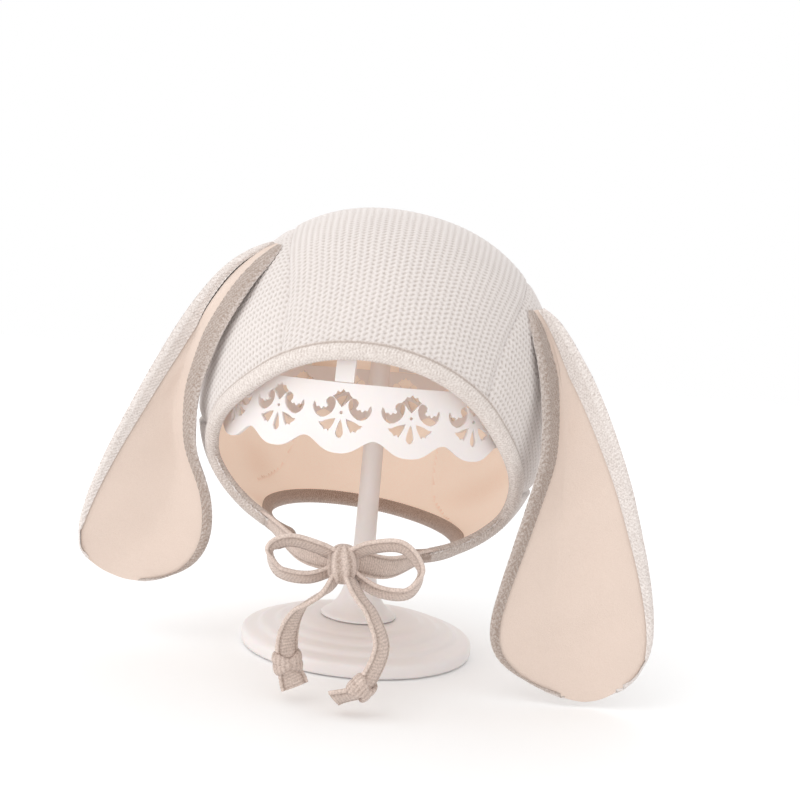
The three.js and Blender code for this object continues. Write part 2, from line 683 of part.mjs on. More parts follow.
// A palmette of six openings: corners as shares of half a pitch across and of the wall's height up,
// and an opening with two sides is repeated on the other side
const tile = ringRadius * pitch / 2;
const lace = ringTop - ringLow;
const bud = [[0, 0.09], [0.18, 0.2], [0.22, 0.31], [0, 0.36], [-0.22, 0.31], [-0.18, 0.2]];
const curl = [[0.14, 0.16], [0.32, 0.23], [0.42, 0.08], [0.78, 0.15], [0.68, -0.05], [0.34, -0.04]];
const sidePetal = [[0.12, -0.10], [0.34, -0.15], [0.58, -0.26], [0.30, -0.38]];
const middlePetal = [[0, -0.10], [0.11, -0.33], [0, -0.44], [-0.11, -0.33]];
const palmette = [
  { corners: bud, sides: [1] },
  { corners: curl, sides: [1, -1] },
  { corners: sidePetal, sides: [1, -1] },
  { corners: middlePetal, sides: [1] },
];

function openingShape(corners, side) {
  return new THREE.Shape(corners.map(([x, y]) => new THREE.Vector2(side * x * tile, y * lace)));
}

// The notch between two scallops, from one scallop's lowest point to the next one's
function notchShape() {
  const steps = 4;
  const low = ringLow - ringMiddle;
  const notch = new THREE.Shape();
  notch.moveTo(-tile, low - scallopDepth);
  for (let k = -steps; k <= steps; k++) {
    const rise = 0.5 - 0.5 * Math.cos(Math.PI * (1 - Math.abs(k) / steps) ** 1.35);
    notch.lineTo(k / steps * tile, low + scallopDepth * rise);
  }
  notch.lineTo(tile, low - scallopDepth);
  notch.closePath();
  return notch;
}

const holes = [];
for (let copy = 0; copy < palmetteCount; copy++) {
  holes.push(throughWall(notchShape(), copy * pitch));
  for (const { corners, sides } of palmette) {
    for (const side of sides) {
      holes.push(throughWall(openingShape(corners, side), (copy + 0.5) * pitch));
    }
  }
}

const ring = solidOf(ringWallShape).subtract(wasm.Manifold.union(holes));
addPiece(model, 'stand_ring', geometryOf(ring), whitePlastic);

const hub = new THREE.CylinderGeometry(hubRadius, hubRadius, hubHeight, 24);
hub.rotateX(Math.PI / 2);
hub.translate(0, 0, hubTop - hubHeight / 2);
addPiece(model, 'stand_hub', geometryOf(solidOf(hub)), whitePlastic);

// Ribs: each stands on the wall's top edge and arches over to the side of the hub
const ribFoot = ringOuter(ringTop) - ringWall / 2;
const ribCurve = new THREE.CubicBezierCurve3(
  new THREE.Vector3(0, -ribFoot, ringTop + clearance),
  new THREE.Vector3(0, -ribFoot, ringTop + (hubTop - ringTop) * 0.42),
  new THREE.Vector3(0, -ribFoot * 0.62, hubTop - hubHeight / 2),
  new THREE.Vector3(0, -hubRadius - clearance, hubTop - hubHeight / 2));
for (let k = 0; k < ribCount; k++) {
  const level = new THREE.Vector3(1, 0, 0);
  const rib = skinOf(strapRings(ribCurve, 7, level, ribWidth, ribWall, ribSection));
  rib.rotateZ(2 * Math.PI * (k - 0.25) / ribCount);
  addPiece(model, `stand_rib_${k + 1}`, geometryOf(solidOf(rib)), whitePlastic);
}

export default model;
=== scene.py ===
import math

import bmesh
import bpy
import numpy as np
from mathutils import Matrix, Vector


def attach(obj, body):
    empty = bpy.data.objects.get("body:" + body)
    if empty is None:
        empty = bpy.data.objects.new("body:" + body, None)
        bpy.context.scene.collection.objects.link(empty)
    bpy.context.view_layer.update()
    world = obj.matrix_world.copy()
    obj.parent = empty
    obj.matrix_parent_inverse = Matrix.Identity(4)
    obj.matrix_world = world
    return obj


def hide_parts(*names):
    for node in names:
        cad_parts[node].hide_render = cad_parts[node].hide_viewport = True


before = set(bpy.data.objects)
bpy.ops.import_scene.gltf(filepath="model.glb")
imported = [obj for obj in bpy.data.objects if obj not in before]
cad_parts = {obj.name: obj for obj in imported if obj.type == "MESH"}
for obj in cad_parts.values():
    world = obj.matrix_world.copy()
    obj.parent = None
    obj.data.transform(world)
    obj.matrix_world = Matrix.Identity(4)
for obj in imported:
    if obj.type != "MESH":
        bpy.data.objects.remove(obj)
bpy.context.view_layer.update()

# Room: a pale floor that runs into a white surround, three soft lamps before the stand and on its left,
# and one behind it. The camera stands half a metre in front, a little above the stand, and is rolled.
WHITE = (1.0, 1.0, 1.0, 1)
SURROUND_SHADE_SIDE = (0.80, -0.60, 0.0)
FLOOR_HALF, FLOOR_SINK = 3.0, 0.0004
FLOOR_GREY = (0.93, 0.93, 0.93, 1)
LAMP_AIM = Vector((0, 0, 0.1))
LAMPS = [("key_lamp", (-0.50, -0.45, 1.00), 0.8, 2.0), ("front_lamp", (-0.30, -0.90, 0.12), 0.5, 1.0),
         ("fill_lamp", (-0.90, -0.60, 0.30), 0.9, 1.2), ("back_lamp", (0.10, 0.90, 0.80), 1.0, 2.0)]
CAMERA_PLACE = Vector((0.0, -0.500, 0.145))
CAMERA_PAN, CAMERA_PITCH, CAMERA_ROLL = (math.radians(a) for a in (1.135, 3.867, 5.222))
CAMERA_LENS, SENSOR_WIDTH = 50.8, 36


def spread(tree, value, low, high, start, stop):
    """Carries a node's value over from the range low to high to the range start to stop."""
    node = tree.nodes.new("ShaderNodeMapRange")
    for socket, number in (("From Min", low), ("From Max", high), ("To Min", start), ("To Max", stop)):
        node.inputs[socket].default_value = number
    tree.links.new(value, node.inputs["Value"])
    return node.outputs["Result"]


bpy.context.scene.view_settings.view_transform = "Standard"
world = bpy.data.worlds.new("surround")
bpy.context.scene.world = world
world.use_nodes = True
world_tree = world.node_tree
surround = world_tree.nodes["Background"]
surround.inputs["Color"].default_value = WHITE
world_place = world_tree.nodes.new("ShaderNodeTexCoord")
world_side = world_tree.nodes.new("ShaderNodeVectorMath")
world_side.operation = "DOT_PRODUCT"
world_side.inputs[1].default_value = SURROUND_SHADE_SIDE
world_tree.links.new(world_place.outputs["Generated"], world_side.inputs[0])
world_light = spread(world_tree, world_side.outputs["Value"], 0.30, 0.90, 1.0, 0.82)
world_tree.links.new(world_light, surround.inputs["Strength"])

floor_mesh = bpy.data.meshes.new("floor")
floor_mesh.from_pydata([(x * FLOOR_HALF, y * FLOOR_HALF, -FLOOR_SINK) for x, y in
                        ((-1, -1), (1, -1), (1, 1), (-1, 1))], [], [(0, 1, 2, 3)])
floor = bpy.data.objects.new("floor", floor_mesh)
bpy.context.collection.objects.link(floor)
floor_paint = bpy.data.materials.new("floor_paint")
floor_paint.use_nodes = True
floor_tree = floor_paint.node_tree
floor_shader = floor_tree.nodes["Principled BSDF"]
floor_shader.inputs["Base Color"].default_value = FLOOR_GREY
floor_shader.inputs["Roughness"].default_value = 0.9
floor_shader.inputs["Emission Color"].default_value = WHITE
# The floor glows a little more with distance, so that it meets the surround without an edge
floor_place = floor_tree.nodes.new("ShaderNodeTexCoord")
floor_reach = floor_tree.nodes.new("ShaderNodeVectorMath")
floor_reach.operation = "LENGTH"
floor_tree.links.new(floor_place.outputs["Object"], floor_reach.inputs[0])
floor_glow = spread(floor_tree, floor_reach.outputs["Value"], 0.25, 0.9, 0.04, 0.16)
floor_tree.links.new(floor_glow, floor_shader.inputs["Emission Strength"])
floor_mesh.materials.append(floor_paint)

for lamp_name, place, size, power in LAMPS:
    lamp = bpy.data.lights.new(lamp_name, "AREA")
    lamp.size = size
    lamp.energy = power
    lamp_object = bpy.data.objects.new(lamp_name, lamp)
    lamp_object.location = place
    aim = LAMP_AIM - Vector(place)
    lamp_object.rotation_euler = aim.to_track_quat("-Z", "Y").to_euler()
    bpy.context.collection.objects.link(lamp_object)

forward = Vector((math.sin(CAMERA_PAN) * math.cos(CAMERA_PITCH),
                  math.cos(CAMERA_PAN) * math.cos(CAMERA_PITCH), -math.sin(CAMERA_PITCH)))
level_right = forward.cross(Vector((0, 0, 1))).normalized()
level_up = level_right.cross(forward)
rolled_right = level_right * math.cos(CAMERA_ROLL) + level_up * math.sin(CAMERA_ROLL)
rolled_up = level_up * math.cos(CAMERA_ROLL) - level_right * math.sin(CAMERA_ROLL)
camera_data = bpy.data.cameras.new("camera")
camera_data.lens = CAMERA_LENS
camera_data.sensor_width = SENSOR_WIDTH
camera = bpy.data.objects.new("camera", camera_data)
turn = Matrix((rolled_right, rolled_up, -forward)).transposed().to_4x4()
camera.matrix_world = Matrix.Translation(CAMERA_PLACE) @ turn
bpy.context.collection.objects.link(camera)
bpy.context.scene.camera = camera

# Stand base and post: white moulded plastic. The base is a low dome with soft rings, and the post
# flares out where it meets the base. Each is turned about the stand's axis. Lengths are in millimetres.
MM = 0.001
# Outlines of half of each: distance from the axis and height
BASE_PROFILE = [(0, 0), (50.2, 0), (51.2, 0.5), (51.5, 1.5), (51.5, 4.4), (51.0, 5.6), (49.4, 6.5),
                (46.5, 6.9), (44.8, 7.3), (43.6, 8.4), (42.4, 9.0), (39.2, 9.2), (37.4, 9.4), (36.0, 10.3),
                (34.6, 11.0), (31.4, 11.2), (29.6, 11.4), (28.0, 12.2), (26.6, 12.8), (22.0, 13.0),
                (0, 13.0)]
POST_PROFILE = [(0, 13.3), (16.6, 13.3), (17.0, 13.8), (16.2, 14.8), (13.2, 16.6), (10.4, 19.6),
                (8.2, 24.0), (6.4, 31.0), (5.2, 38.0), (4.8, 44.0), (4.5, 100.0), (4.4, 181.0), (0, 181.0)]
TURNED_STEPS = 144


def plastic():
    """Moulded plastic with a faint cloudiness and a fine grain."""
    paint = bpy.data.materials.new("white_plastic")
    paint.use_nodes = True
    tree = paint.node_tree
    nodes, links = tree.nodes, tree.links
    shader = nodes["Principled BSDF"]
    shader.inputs["IOR"].default_value = 1.46
    shader.inputs["Subsurface Weight"].default_value = 0.12
    shader.inputs["Subsurface Scale"].default_value = 0.004
    place = nodes.new("ShaderNodeTexCoord")
    cloud = nodes.new("ShaderNodeTexNoise")
    cloud.inputs["Scale"].default_value = 35
    cloud.inputs["Detail"].default_value = 4
    links.new(place.outputs["Object"], cloud.inputs["Vector"])
    tint = nodes.new("ShaderNodeValToRGB")
    tint.color_ramp.elements[0].color = (0.79, 0.74, 0.72, 1)
    tint.color_ramp.elements[1].color = (0.86, 0.81, 0.795, 1)
    links.new(cloud.outputs["Fac"], tint.inputs["Fac"])
    links.new(tint.outputs["Color"], shader.inputs["Base Color"])
    links.new(spread(tree, cloud.outputs["Fac"], 0, 1, 0.34, 0.5), shader.inputs["Roughness"])
    skin = nodes.new("ShaderNodeTexNoise")
    skin.inputs["Scale"].default_value = 900
    links.new(place.outputs["Object"], skin.inputs["Vector"])
    grain = nodes.new("ShaderNodeBump")
    grain.inputs["Strength"].default_value = 0.06
    grain.inputs["Distance"].default_value = 0.0004
    links.new(skin.outputs["Fac"], grain.inputs["Height"])
    links.new(grain.outputs["Normal"], shader.inputs["Normal"])
    return paint


white_plastic = plastic()


def add_grid(name, points, paint, wrap_rows=False, wrap_columns=False, keep=None, marks=None, caps=False):
    """A mesh from a grid of points in millimetres; keep picks its faces, and marks are point values."""
    rows, columns = points.shape[:2]
    r = np.arange(rows if wrap_rows else rows - 1)
    c = np.arange(columns if wrap_columns else columns - 1)
    r, c = np.meshgrid(r, c, indexing="ij")
    r2, c2 = (r + 1) % rows, (c + 1) % columns
    faces = np.stack([r * columns + c, r * columns + c2, r2 * columns + c2, r2 * columns + c], -1)
    faces = faces.reshape(-1, 4)
    flat = points.reshape(-1, 3)
    if keep is not None:
        faces = faces[keep.reshape(-1)[faces].all(axis=1)]
        used = np.unique(faces)
        renumber = np.full(len(flat), -1)
        renumber[used] = np.arange(len(used))
        faces, flat = renumber[faces], flat[used]
        marks = {k: v.reshape(-1)[used] for k, v in (marks or {}).items()}
    faces = faces.tolist()
    if caps:
        faces.append(list(range(columns))[::-1])
        faces.append([(rows - 1) * columns + k for k in range(columns)])
    mesh = bpy.data.meshes.new(name)
    mesh.from_pydata((flat * MM).tolist(), [], faces)
    for mark, values in (marks or {}).items():
        layer = mesh.attributes.new(mark, "FLOAT", "POINT")
        layer.data.foreach_set("value", np.asarray(values, dtype=np.float32).reshape(-1))
    mesh.polygons.foreach_set("use_smooth", [True] * len(mesh.polygons))
    mesh.materials.append(paint)
    mesh.validate()
    piece = bpy.data.objects.new(name, mesh)
    bpy.context.collection.objects.link(piece)
    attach(piece, "root")
    return piece


def rounded(profile):
    """Corner cutting: two points, a quarter in from it on each side, take each corner's place."""
    inner = []
    for a, b in zip(profile[:-1], profile[1:]):
        inner += [a * 0.75 + b * 0.25, a * 0.25 + b * 0.75]
    return np.array([profile[0]] + inner[1:-1] + [profile[-1]])


def turned(name, profile):
    """A closed solid of revolution about the stand's axis."""
    profile = rounded(np.array(profile, dtype=float))
    angle = np.linspace(0, 2 * np.pi, TURNED_STEPS, endpoint=False)
    r, z = profile[1:-1, 0], profile[1:-1, 1]
    points = np.stack([r[:, None] * np.cos(angle), r[:, None] * np.sin(angle),
                       np.broadcast_to(z[:, None], (len(z), TURNED_STEPS))], -1)
    return add_grid(name, points, white_plastic, wrap_columns=True, caps=True)


for part_name, profile in (("base", BASE_PROFILE), ("post", POST_PROFILE)):
    piece = turned(part_name, profile)
    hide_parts(f"stand_{part_name}")

# Ring: the stand's pierced wall, moulded in one with a scalloped lower edge. Sixteen palmettes are
# cut through it, each with a bud, two curls, three petals and a small dot. Ribs and hub carry it.
RING_RADIUS, RING_SLOPE, RING_WALL = 69.35, 0.09, 1.6
RING_MIDDLE, RING_TOP, RING_LOW = 108.5, 120.4, 93.4
SCALLOP_DEPTH = 5.6
PALMETTES = 16
RING_PITCH = 2 * math.pi * RING_RADIUS / PALMETTES
STRIPS_PER_PITCH = 12
RING_EDGE = 0.25
# The openings' corners: x across and y up from the wall's middle, in units of 11.2 mm
PALMETTE_UNIT = 11.2
BUD = [(0, 0.22), (0.10, 0.32), (0.22, 0.46), (0.36, 0.58), (0.26, 0.66), (0.20, 0.78), (0.10, 0.74),
       (0, 0.86), (-0.10, 0.74), (-0.20, 0.78), (-0.26, 0.66), (-0.36, 0.58), (-0.22, 0.46), (-0.10, 0.32)]
CURL = [(0.22, 0.34), (0.25, 0.48), (0.36, 0.56), (0.49, 0.54), (0.58, 0.44), (0.57, 0.32), (0.50, 0.24),
        (0.56, 0.16), (0.66, 0.20), (0.72, 0.10), (0.82, 0.20), (0.90, 0.16), (0.96, 0.30), (1.02, 0.36),
        (1.06, 0.20), (1.00, 0.02), (0.90, -0.10), (0.74, -0.18), (0.58, -0.16), (0.44, -0.08),
        (0.32, 0.04), (0.25, 0.18)]
SIDE_PETAL = [(0.18, -0.16), (0.34, -0.20), (0.52, -0.26), (0.66, -0.34), (0.78, -0.34), (0.72, -0.44),
              (0.62, -0.50), (0.56, -0.60), (0.46, -0.56), (0.40, -0.64), (0.30, -0.48), (0.22, -0.32)]
MIDDLE_PETAL = [(0, -0.18), (0.07, -0.34), (0.12, -0.54), (0.14, -0.68), (0.08, -0.80), (0, -0.84),
                (-0.08, -0.80), (-0.14, -0.68), (-0.12, -0.54), (-0.07, -0.34)]
DOT = [(0.06 * math.cos(a), 0.04 + 0.06 * math.sin(a)) for a in np.linspace(0, 2 * math.pi, 9)[:-1]]


def ring_outline():
    """Closed outlines of one pitch of the wall, flat: x along the wall and y up from its middle."""
    scallop = []
    for share in np.linspace(-1, 1, 2 * STRIPS_PER_PITCH + 1):
        rise = 0.5 - 0.5 * math.cos(math.pi * abs(share) ** 1.35)
        scallop.append((share * RING_PITCH / 2, RING_LOW - RING_MIDDLE + SCALLOP_DEPTH * rise))
    top = [(share * RING_PITCH / 2, RING_TOP - RING_MIDDLE)
           for share in np.linspace(1, -1, STRIPS_PER_PITCH + 1)]
    holes = []
    for shape, sides in ((BUD, [1]), (CURL, [1, -1]), (SIDE_PETAL, [1, -1]), (MIDDLE_PETAL, [1]), (DOT, [1])):
        for side in sides:
            holes.append([(side * x * PALMETTE_UNIT, y * PALMETTE_UNIT) for x, y in shape])
    return scallop + top, holes


def ring_tile():
    """One pitch as a flat plate with its openings: a filled curve gives its mesh."""
    outline, holes = ring_outline()
    curve = bpy.data.curves.new("tile", "CURVE")
    curve.dimensions = "2D"
    curve.fill_mode = "BOTH"
    curve.extrude = RING_WALL / 2
    for loop in [outline] + holes:
        spline = curve.splines.new("POLY")
        spline.points.add(len(loop) - 1)
        for point, (x, y) in zip(spline.points, loop):
            point.co = (x, y, 0, 1)
        spline.use_cyclic_u = True
    plate = bpy.data.objects.new("tile", curve)
    bpy.context.collection.objects.link(plate)
    bpy.context.view_layer.update()
    mesh = bpy.data.meshes.new_from_object(plate)
    bpy.data.objects.remove(plate)
    return mesh


def make_ring():
    """Cuts the flat plate into thin strips, bends a copy of it for each palmette and joins them all."""
    flat = bmesh.new()
    flat.from_mesh(ring_tile())
    for cut in np.linspace(-0.5, 0.5, STRIPS_PER_PITCH + 1)[1:-1]:
        geometry = flat.verts[:] + flat.edges[:] + flat.faces[:]
        bmesh.ops.bisect_plane(flat, geom=geometry, plane_co=(cut * RING_PITCH, 0, 0), plane_no=(1, 0, 0))
    ends = [f for f in flat.faces if all(abs(abs(v.co.x) - RING_PITCH / 2) < 1e-4 for v in f.verts)]
    bmesh.ops.delete(flat, geom=ends, context="FACES")
    whole = bmesh.new()
    for copy in range(PALMETTES):
        part = flat.copy()
        for v in part.verts:
            angle = v.co.x / RING_RADIUS + (copy + 0.5) * 2 * math.pi / PALMETTES
            height = v.co.y
            radius = RING_RADIUS - RING_SLOPE * height - RING_WALL / 2 + v.co.z
            v.co = (radius * math.sin(angle), -radius * math.cos(angle), RING_MIDDLE + height)
        held = bpy.data.meshes.new("copy")
        part.to_mesh(held)
        whole.from_mesh(held)
        part.free()
    bmesh.ops.remove_doubles(whole, verts=whole.verts, dist=0.02)
    bmesh.ops.recalc_face_normals(whole, faces=whole.faces)
    for v in whole.verts:
        v.co *= MM
    mesh = bpy.data.meshes.new("ring")
    whole.to_mesh(mesh)
    mesh.materials.append(white_plastic)
    piece = bpy.data.objects.new("ring", mesh)
    bpy.context.collection.objects.link(piece)
    edge = piece.modifiers.new("soft edge", "BEVEL")
    edge.width = RING_EDGE * MM
    edge.segments = 1
    edge.limit_method = "ANGLE"
    edge.angle_limit = math.radians(50)
    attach(piece, "root")
    return piece


ring = make_ring()
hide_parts("stand_ring")
for node_name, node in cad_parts.items():
    if node_name.startswith("stand_rib") or node_name == "stand_hub":
        node.data.materials.clear()
        node.data.materials.append(white_plastic)

# Head form: the bonnet's cloth follows one egg shape, full at the crown and drawn in at the neck.
# It leans to one side on the stand. Heights here are from the point that it leans about.
HEAD_WIDTH, HEAD_DEPTH = 77.0, 77.0
CROWN_RISE, CROWN_FULLNESS = 84.0, 2.25
HEAD_DROP, LOWER_FULLNESS = 64.0, 2.6
NECK_DEPTH_KEEP = 0.5
PIVOT_HEIGHT = 110.0
LEAN = math.radians(7.5)
NECK_FRONT, NECK_BACK, NECK_TILT = -56.96, -55.04, 0.05
PANEL_HALF_WIDTH = 51.975
# Half of the face opening's outline, from its top to its lower corner, as shares of the head form's
# half width and of its rise or drop
FACE_X = np.array([0.00, 0.27, 0.50, 0.68, 0.79, 0.83, 0.81, 0.71, 0.57, 0.42])
FACE_Z = np.array([0.275, 0.240, 0.140, -0.020, -0.200, -0.370, -0.540, -0.680, -0.790, -0.860])
# The centre panel's width, from the forehead to the nape, as shares of the depth and of its widest place
PANEL_Y = np.array([-1.3, -0.84, -0.52, -0.10, 0.30, 0.70, 1.3])
PANEL_WIDTH = np.array([0.66, 0.79, 0.95, 1.00, 0.95, 0.74, 0.55])
SEAM_TURN = 24.0
EDGE_SINK, EDGE_SINK_REACH = 1.5, 3.2


def section(z, inset=0.0):
    """Half width and half depth of the head form's level section at height z."""
    above = z > 0
    height = np.where(above, CROWN_RISE, HEAD_DROP) - inset
    fullness = np.where(above, CROWN_FULLNESS, LOWER_FULLNESS)
    rest = np.maximum(1 - np.abs(z / height) ** fullness, 1e-9) ** (1 / fullness)
    keep = np.where(above, 0.0, NECK_DEPTH_KEEP)
    return (HEAD_WIDTH - inset) * rest, (HEAD_DEPTH - inset) * (rest + (1 - rest) * keep)


def outside(p, inset=0.0):
    """How far out a point is: 1 on the head form, less inside it."""
    half_x, half_y = section(p[..., 2], inset)
    beyond = (p[..., 2] > CROWN_RISE - inset) | (p[..., 2] < -HEAD_DROP + inset)
    return np.where(beyond, 9.0, np.hypot(p[..., 0] / half_x, p[..., 1] / half_y))


def reach(start, direction, inset=0.0):
    """Points where rays from inside meet the head form."""
    low = np.zeros(direction.shape[:-1])
    high = np.full(direction.shape[:-1], 130.0)
    for _ in range(26):
        middle = (low + high) / 2
        inside = outside(start + direction * middle[..., None], inset) < 1
        low, high = np.where(inside, middle, low), np.where(inside, high, middle)
    return start + direction * low[..., None]


def lean(p):
    """From the bonnet's own frame to the stand's."""
    x = p[..., 0] * math.cos(LEAN) + p[..., 2] * math.sin(LEAN)
    z = -p[..., 0] * math.sin(LEAN) + p[..., 2] * math.cos(LEAN) + PIVOT_HEIGHT
    return np.stack([x, p[..., 1], z], -1)


def neck_height(x, y):
    """Height of the neck's edge, which rises a little to the back and to one side."""
    share = (y + HEAD_DEPTH) / (2 * HEAD_DEPTH)
    return NECK_FRONT + (NECK_BACK - NECK_FRONT) * share + NECK_TILT * x


def in_face(p, margin=0.0):
    """True where a point of the front lies inside the face opening, by more than the margin."""
    height = FACE_Z * np.where(FACE_Z > 0, CROWN_RISE, HEAD_DROP) - margin * (FACE_Z > 0)
    edge = np.interp(-p[..., 2], -height, FACE_X * HEAD_WIDTH - margin, left=-1.0)
    return (p[..., 1] < 0) & (np.abs(p[..., 0]) < edge)


def into_binding(p):
    """How deep the cloth sinks beside the face opening, where its raw edge goes into the binding."""
    height = FACE_Z * np.where(FACE_Z > 0, CROWN_RISE, HEAD_DROP)
    beside = np.abs(p[..., 0]) - np.interp(-p[..., 2], -height, FACE_X * HEAD_WIDTH, left=-1000.0)
    above = p[..., 2] - np.interp(np.abs(p[..., 0]), FACE_X[:6] * HEAD_WIDTH, height[:6])
    beside, above = np.maximum(beside, 0.01), np.maximum(above, 0.01)
    away = np.where(p[..., 2] < height[5], beside, beside * above / np.hypot(beside, above))
    return EDGE_SINK * np.exp(-(away / EDGE_SINK_REACH) ** 2) * (p[..., 1] < 0)


def softened(shares, values, at, width):
    """A table read with its corners rounded."""
    spread = np.linspace(-1, 1, 9)
    weight = 1 - np.abs(spread) * 0.8
    read = [np.interp(np.clip(at + k * width, shares[0], shares[-1]), shares, values) for k in spread]
    return np.tensordot(weight, np.array(read), axes=1) / weight.sum()


def panel_half(y):
    """Half of the centre panel's width at a place from front to back."""
    return softened(PANEL_Y, PANEL_WIDTH, y / HEAD_DEPTH, 0.16) * PANEL_HALF_WIDTH


def under_side(points):
    """True low on the side of the head, before the place where the seam turns forward to the neck."""
    return (points[..., 2] < 0) & (points[..., 1] < SEAM_TURN)


def unit(vectors):
    return vectors / np.maximum(np.linalg.norm(vectors, axis=-1, keepdims=True), 1e-9)


def grid_normals(points, towards):
    """Normals of a grid of points, each on the side that the direction towards points to."""
    along, across = np.gradient(points, axis=0), np.gradient(points, axis=1)
    normal = unit(np.cross(across, along))
    return np.where((normal * towards).sum(-1, keepdims=True) < 0, -normal, normal)


def outward(points):
    return grid_normals(points, points)


# Waffle cloth: a cream cotton knit. Ridges run lengthwise 2.6 mm apart, and small pockets lie between
# them, staggered from one valley to the next. The pockets are real hollows, and fibres are bump.
RIDGE_PITCH, POCKET_PITCH = 2.6, 2.1
POCKET_DEPTH = 0.6
# Painted shade: how much darker the cloth is painted deep in a pocket
POCKET_SHADE = 0.8


def waffle(across, along):
    """Height of the knit, from -1 in a pocket to 0 on a ridge, and how far in a pocket a point is, which sets
    the painted shade there.
    """
    sway = 0.16 * RIDGE_PITCH * np.sin(2 * np.pi * along / POCKET_PITCH)
    valley = 0.5 - 0.5 * np.cos(2 * np.pi * (across + sway) / RIDGE_PITCH)
    stagger = np.floor((across + sway) / RIDGE_PITCH) % 2
    pocket = (0.5 + 0.5 * np.cos(2 * np.pi * (along / POCKET_PITCH + 0.5 * stagger))) ** 1.3
    return -valley * (0.25 + 0.75 * pocket), valley ** 1.5 * (0.12 + 0.88 * pocket)


def cloth_paint(name, light, dark, fibre_scale=2600, fibre_depth=0.00025, mark=None, sheen=0.25,
                patch=0.5, glow=0.0):
    """Knitted cotton; the mark mixes in the dark colour as painted shade and in places a knit pattern, and
    glow is painted light for the light that comes through a thin cloth from its other side.
    """
    paint = bpy.data.materials.new(name)
    paint.use_nodes = True
    tree = paint.node_tree
    nodes, links = tree.nodes, tree.links
    shader = nodes["Principled BSDF"]
    shader.inputs["Sheen Weight"].default_value = sheen
    shader.inputs["Sheen Roughness"].default_value = 0.5
    shader.inputs["Specular IOR Level"].default_value = 0.2
    place = nodes.new("ShaderNodeTexCoord")
    fibre = nodes.new("ShaderNodeTexNoise")
    fibre.inputs["Scale"].default_value = fibre_scale
    fibre.inputs["Detail"].default_value = 3
    cloud = nodes.new("ShaderNodeTexNoise")
    cloud.inputs["Scale"].default_value = 28
    cloud.inputs["Detail"].default_value = 3
    for texture in (fibre, cloud):
        links.new(place.outputs["Object"], texture.inputs["Vector"])
    shade = nodes.new("ShaderNodeMix")
    shade.data_type = "RGBA"
    shade.inputs["A"].default_value = (*light, 1)
    shade.inputs["B"].default_value = (*dark, 1)
    amount = nodes.new("ShaderNodeMath")
    amount.operation = "ADD"
    amount.use_clamp = True
    links.new(spread(tree, fibre.outputs["Fac"], 0.35, 0.75, 0, patch), amount.inputs[0])
    # The mark's values mix in the dark colour: painted shade, and in places a knit pattern
    if mark:
        painted_shade_and_pattern = nodes.new("ShaderNodeAttribute")
        painted_shade_and_pattern.attribute_name = mark
        links.new(painted_shade_and_pattern.outputs["Fac"], amount.inputs[1])
    else:
        amount.inputs[1].default_value = 0.0
    links.new(amount.outputs["Value"], shade.inputs["Factor"])
    patchy = nodes.new("ShaderNodeHueSaturation")
    links.new(spread(tree, cloud.outputs["Fac"], 0, 1, 0.95, 1.04), patchy.inputs["Value"])
    links.new(shade.outputs["Result"], patchy.inputs["Color"])
    links.new(patchy.outputs["Color"], shader.inputs["Base Color"])
    # Painted light: the cloth glows with its own colour, though it is no lamp
    if glow:
        links.new(patchy.outputs["Color"], shader.inputs["Emission Color"])
        shader.inputs["Emission Strength"].default_value = glow
    links.new(spread(tree, fibre.outputs["Fac"], 0, 1, 0.82, 0.98), shader.inputs["Roughness"])
    nap = nodes.new("ShaderNodeBump")
    nap.inputs["Strength"].default_value = 0.5
    nap.inputs["Distance"].default_value = fibre_depth
    links.new(fibre.outputs["Fac"], nap.inputs["Height"])
    links.new(nap.outputs["Normal"], shader.inputs["Normal"])
    return paint


waffle_cloth = cloth_paint("waffle_cloth", (0.80, 0.745, 0.72), (0.44, 0.37, 0.325), mark="painted_shade_and_pattern",
                           patch=0.3)

# Centre panel: one strip of waffle cloth from the forehead over the crown to the nape, with its
# ridges running front to back. Its two long edges dip into the seams.
SEAM_WIDTH, SEAM_DEPTH = 1.6, 0.8
CENTRE_ROWS, CENTRE_COLUMNS = 447, 169


def centre_points(u, turn, inset):
    """Points of the strip: u from -1 to 1 across it, turn in radians from the front, over the top."""
    y = -HEAD_DEPTH * np.cos(turn)
    direction = np.stack([np.zeros_like(turn), -np.cos(turn), np.sin(turn)], -1)
    for _ in range(6):
        half = panel_half(y)
        x = HEAD_WIDTH * np.sin(u * np.arcsin(half / HEAD_WIDTH))
        start = np.stack([x, np.zeros_like(x), np.zeros_like(x)], -1)
        points = reach(start, direction, inset)
        y = points[..., 1]
    return points


def centre_limits(u, inset, neck_margin):
    """The turns where the strip meets the face opening's edge and the neck's edge."""
    low, high = np.full_like(u, math.radians(-35)), np.full_like(u, math.radians(90))
    for _ in range(18):
        middle = (low + high) / 2
        inside = in_face(centre_points(u, middle, inset))
        low, high = np.where(inside, middle, low), np.where(inside, high, middle)
    front = high
    low, high = np.full_like(u, math.radians(90)), np.full_like(u, math.radians(260))
    for _ in range(18):
        middle = (low + high) / 2
        p = centre_points(u, middle, inset)
        above = (p[..., 2] > neck_height(p[..., 0], p[..., 1]) - neck_margin) & ~under_side(p)
        low, high = np.where(above, middle, low), np.where(above, high, middle)
    # Evened out over a centimetre, so that the ridges leave the bindings without a kink
    reach_of = max(len(u) // 16, 1)
    weight = np.hanning(2 * reach_of + 3)[1:-1]
    weight /= weight.sum()
    padded = [np.pad(limit, reach_of, mode="reflect", reflect_type="odd") for limit in (front, low)]
    return [np.convolve(limit, weight, "valid") for limit in padded]


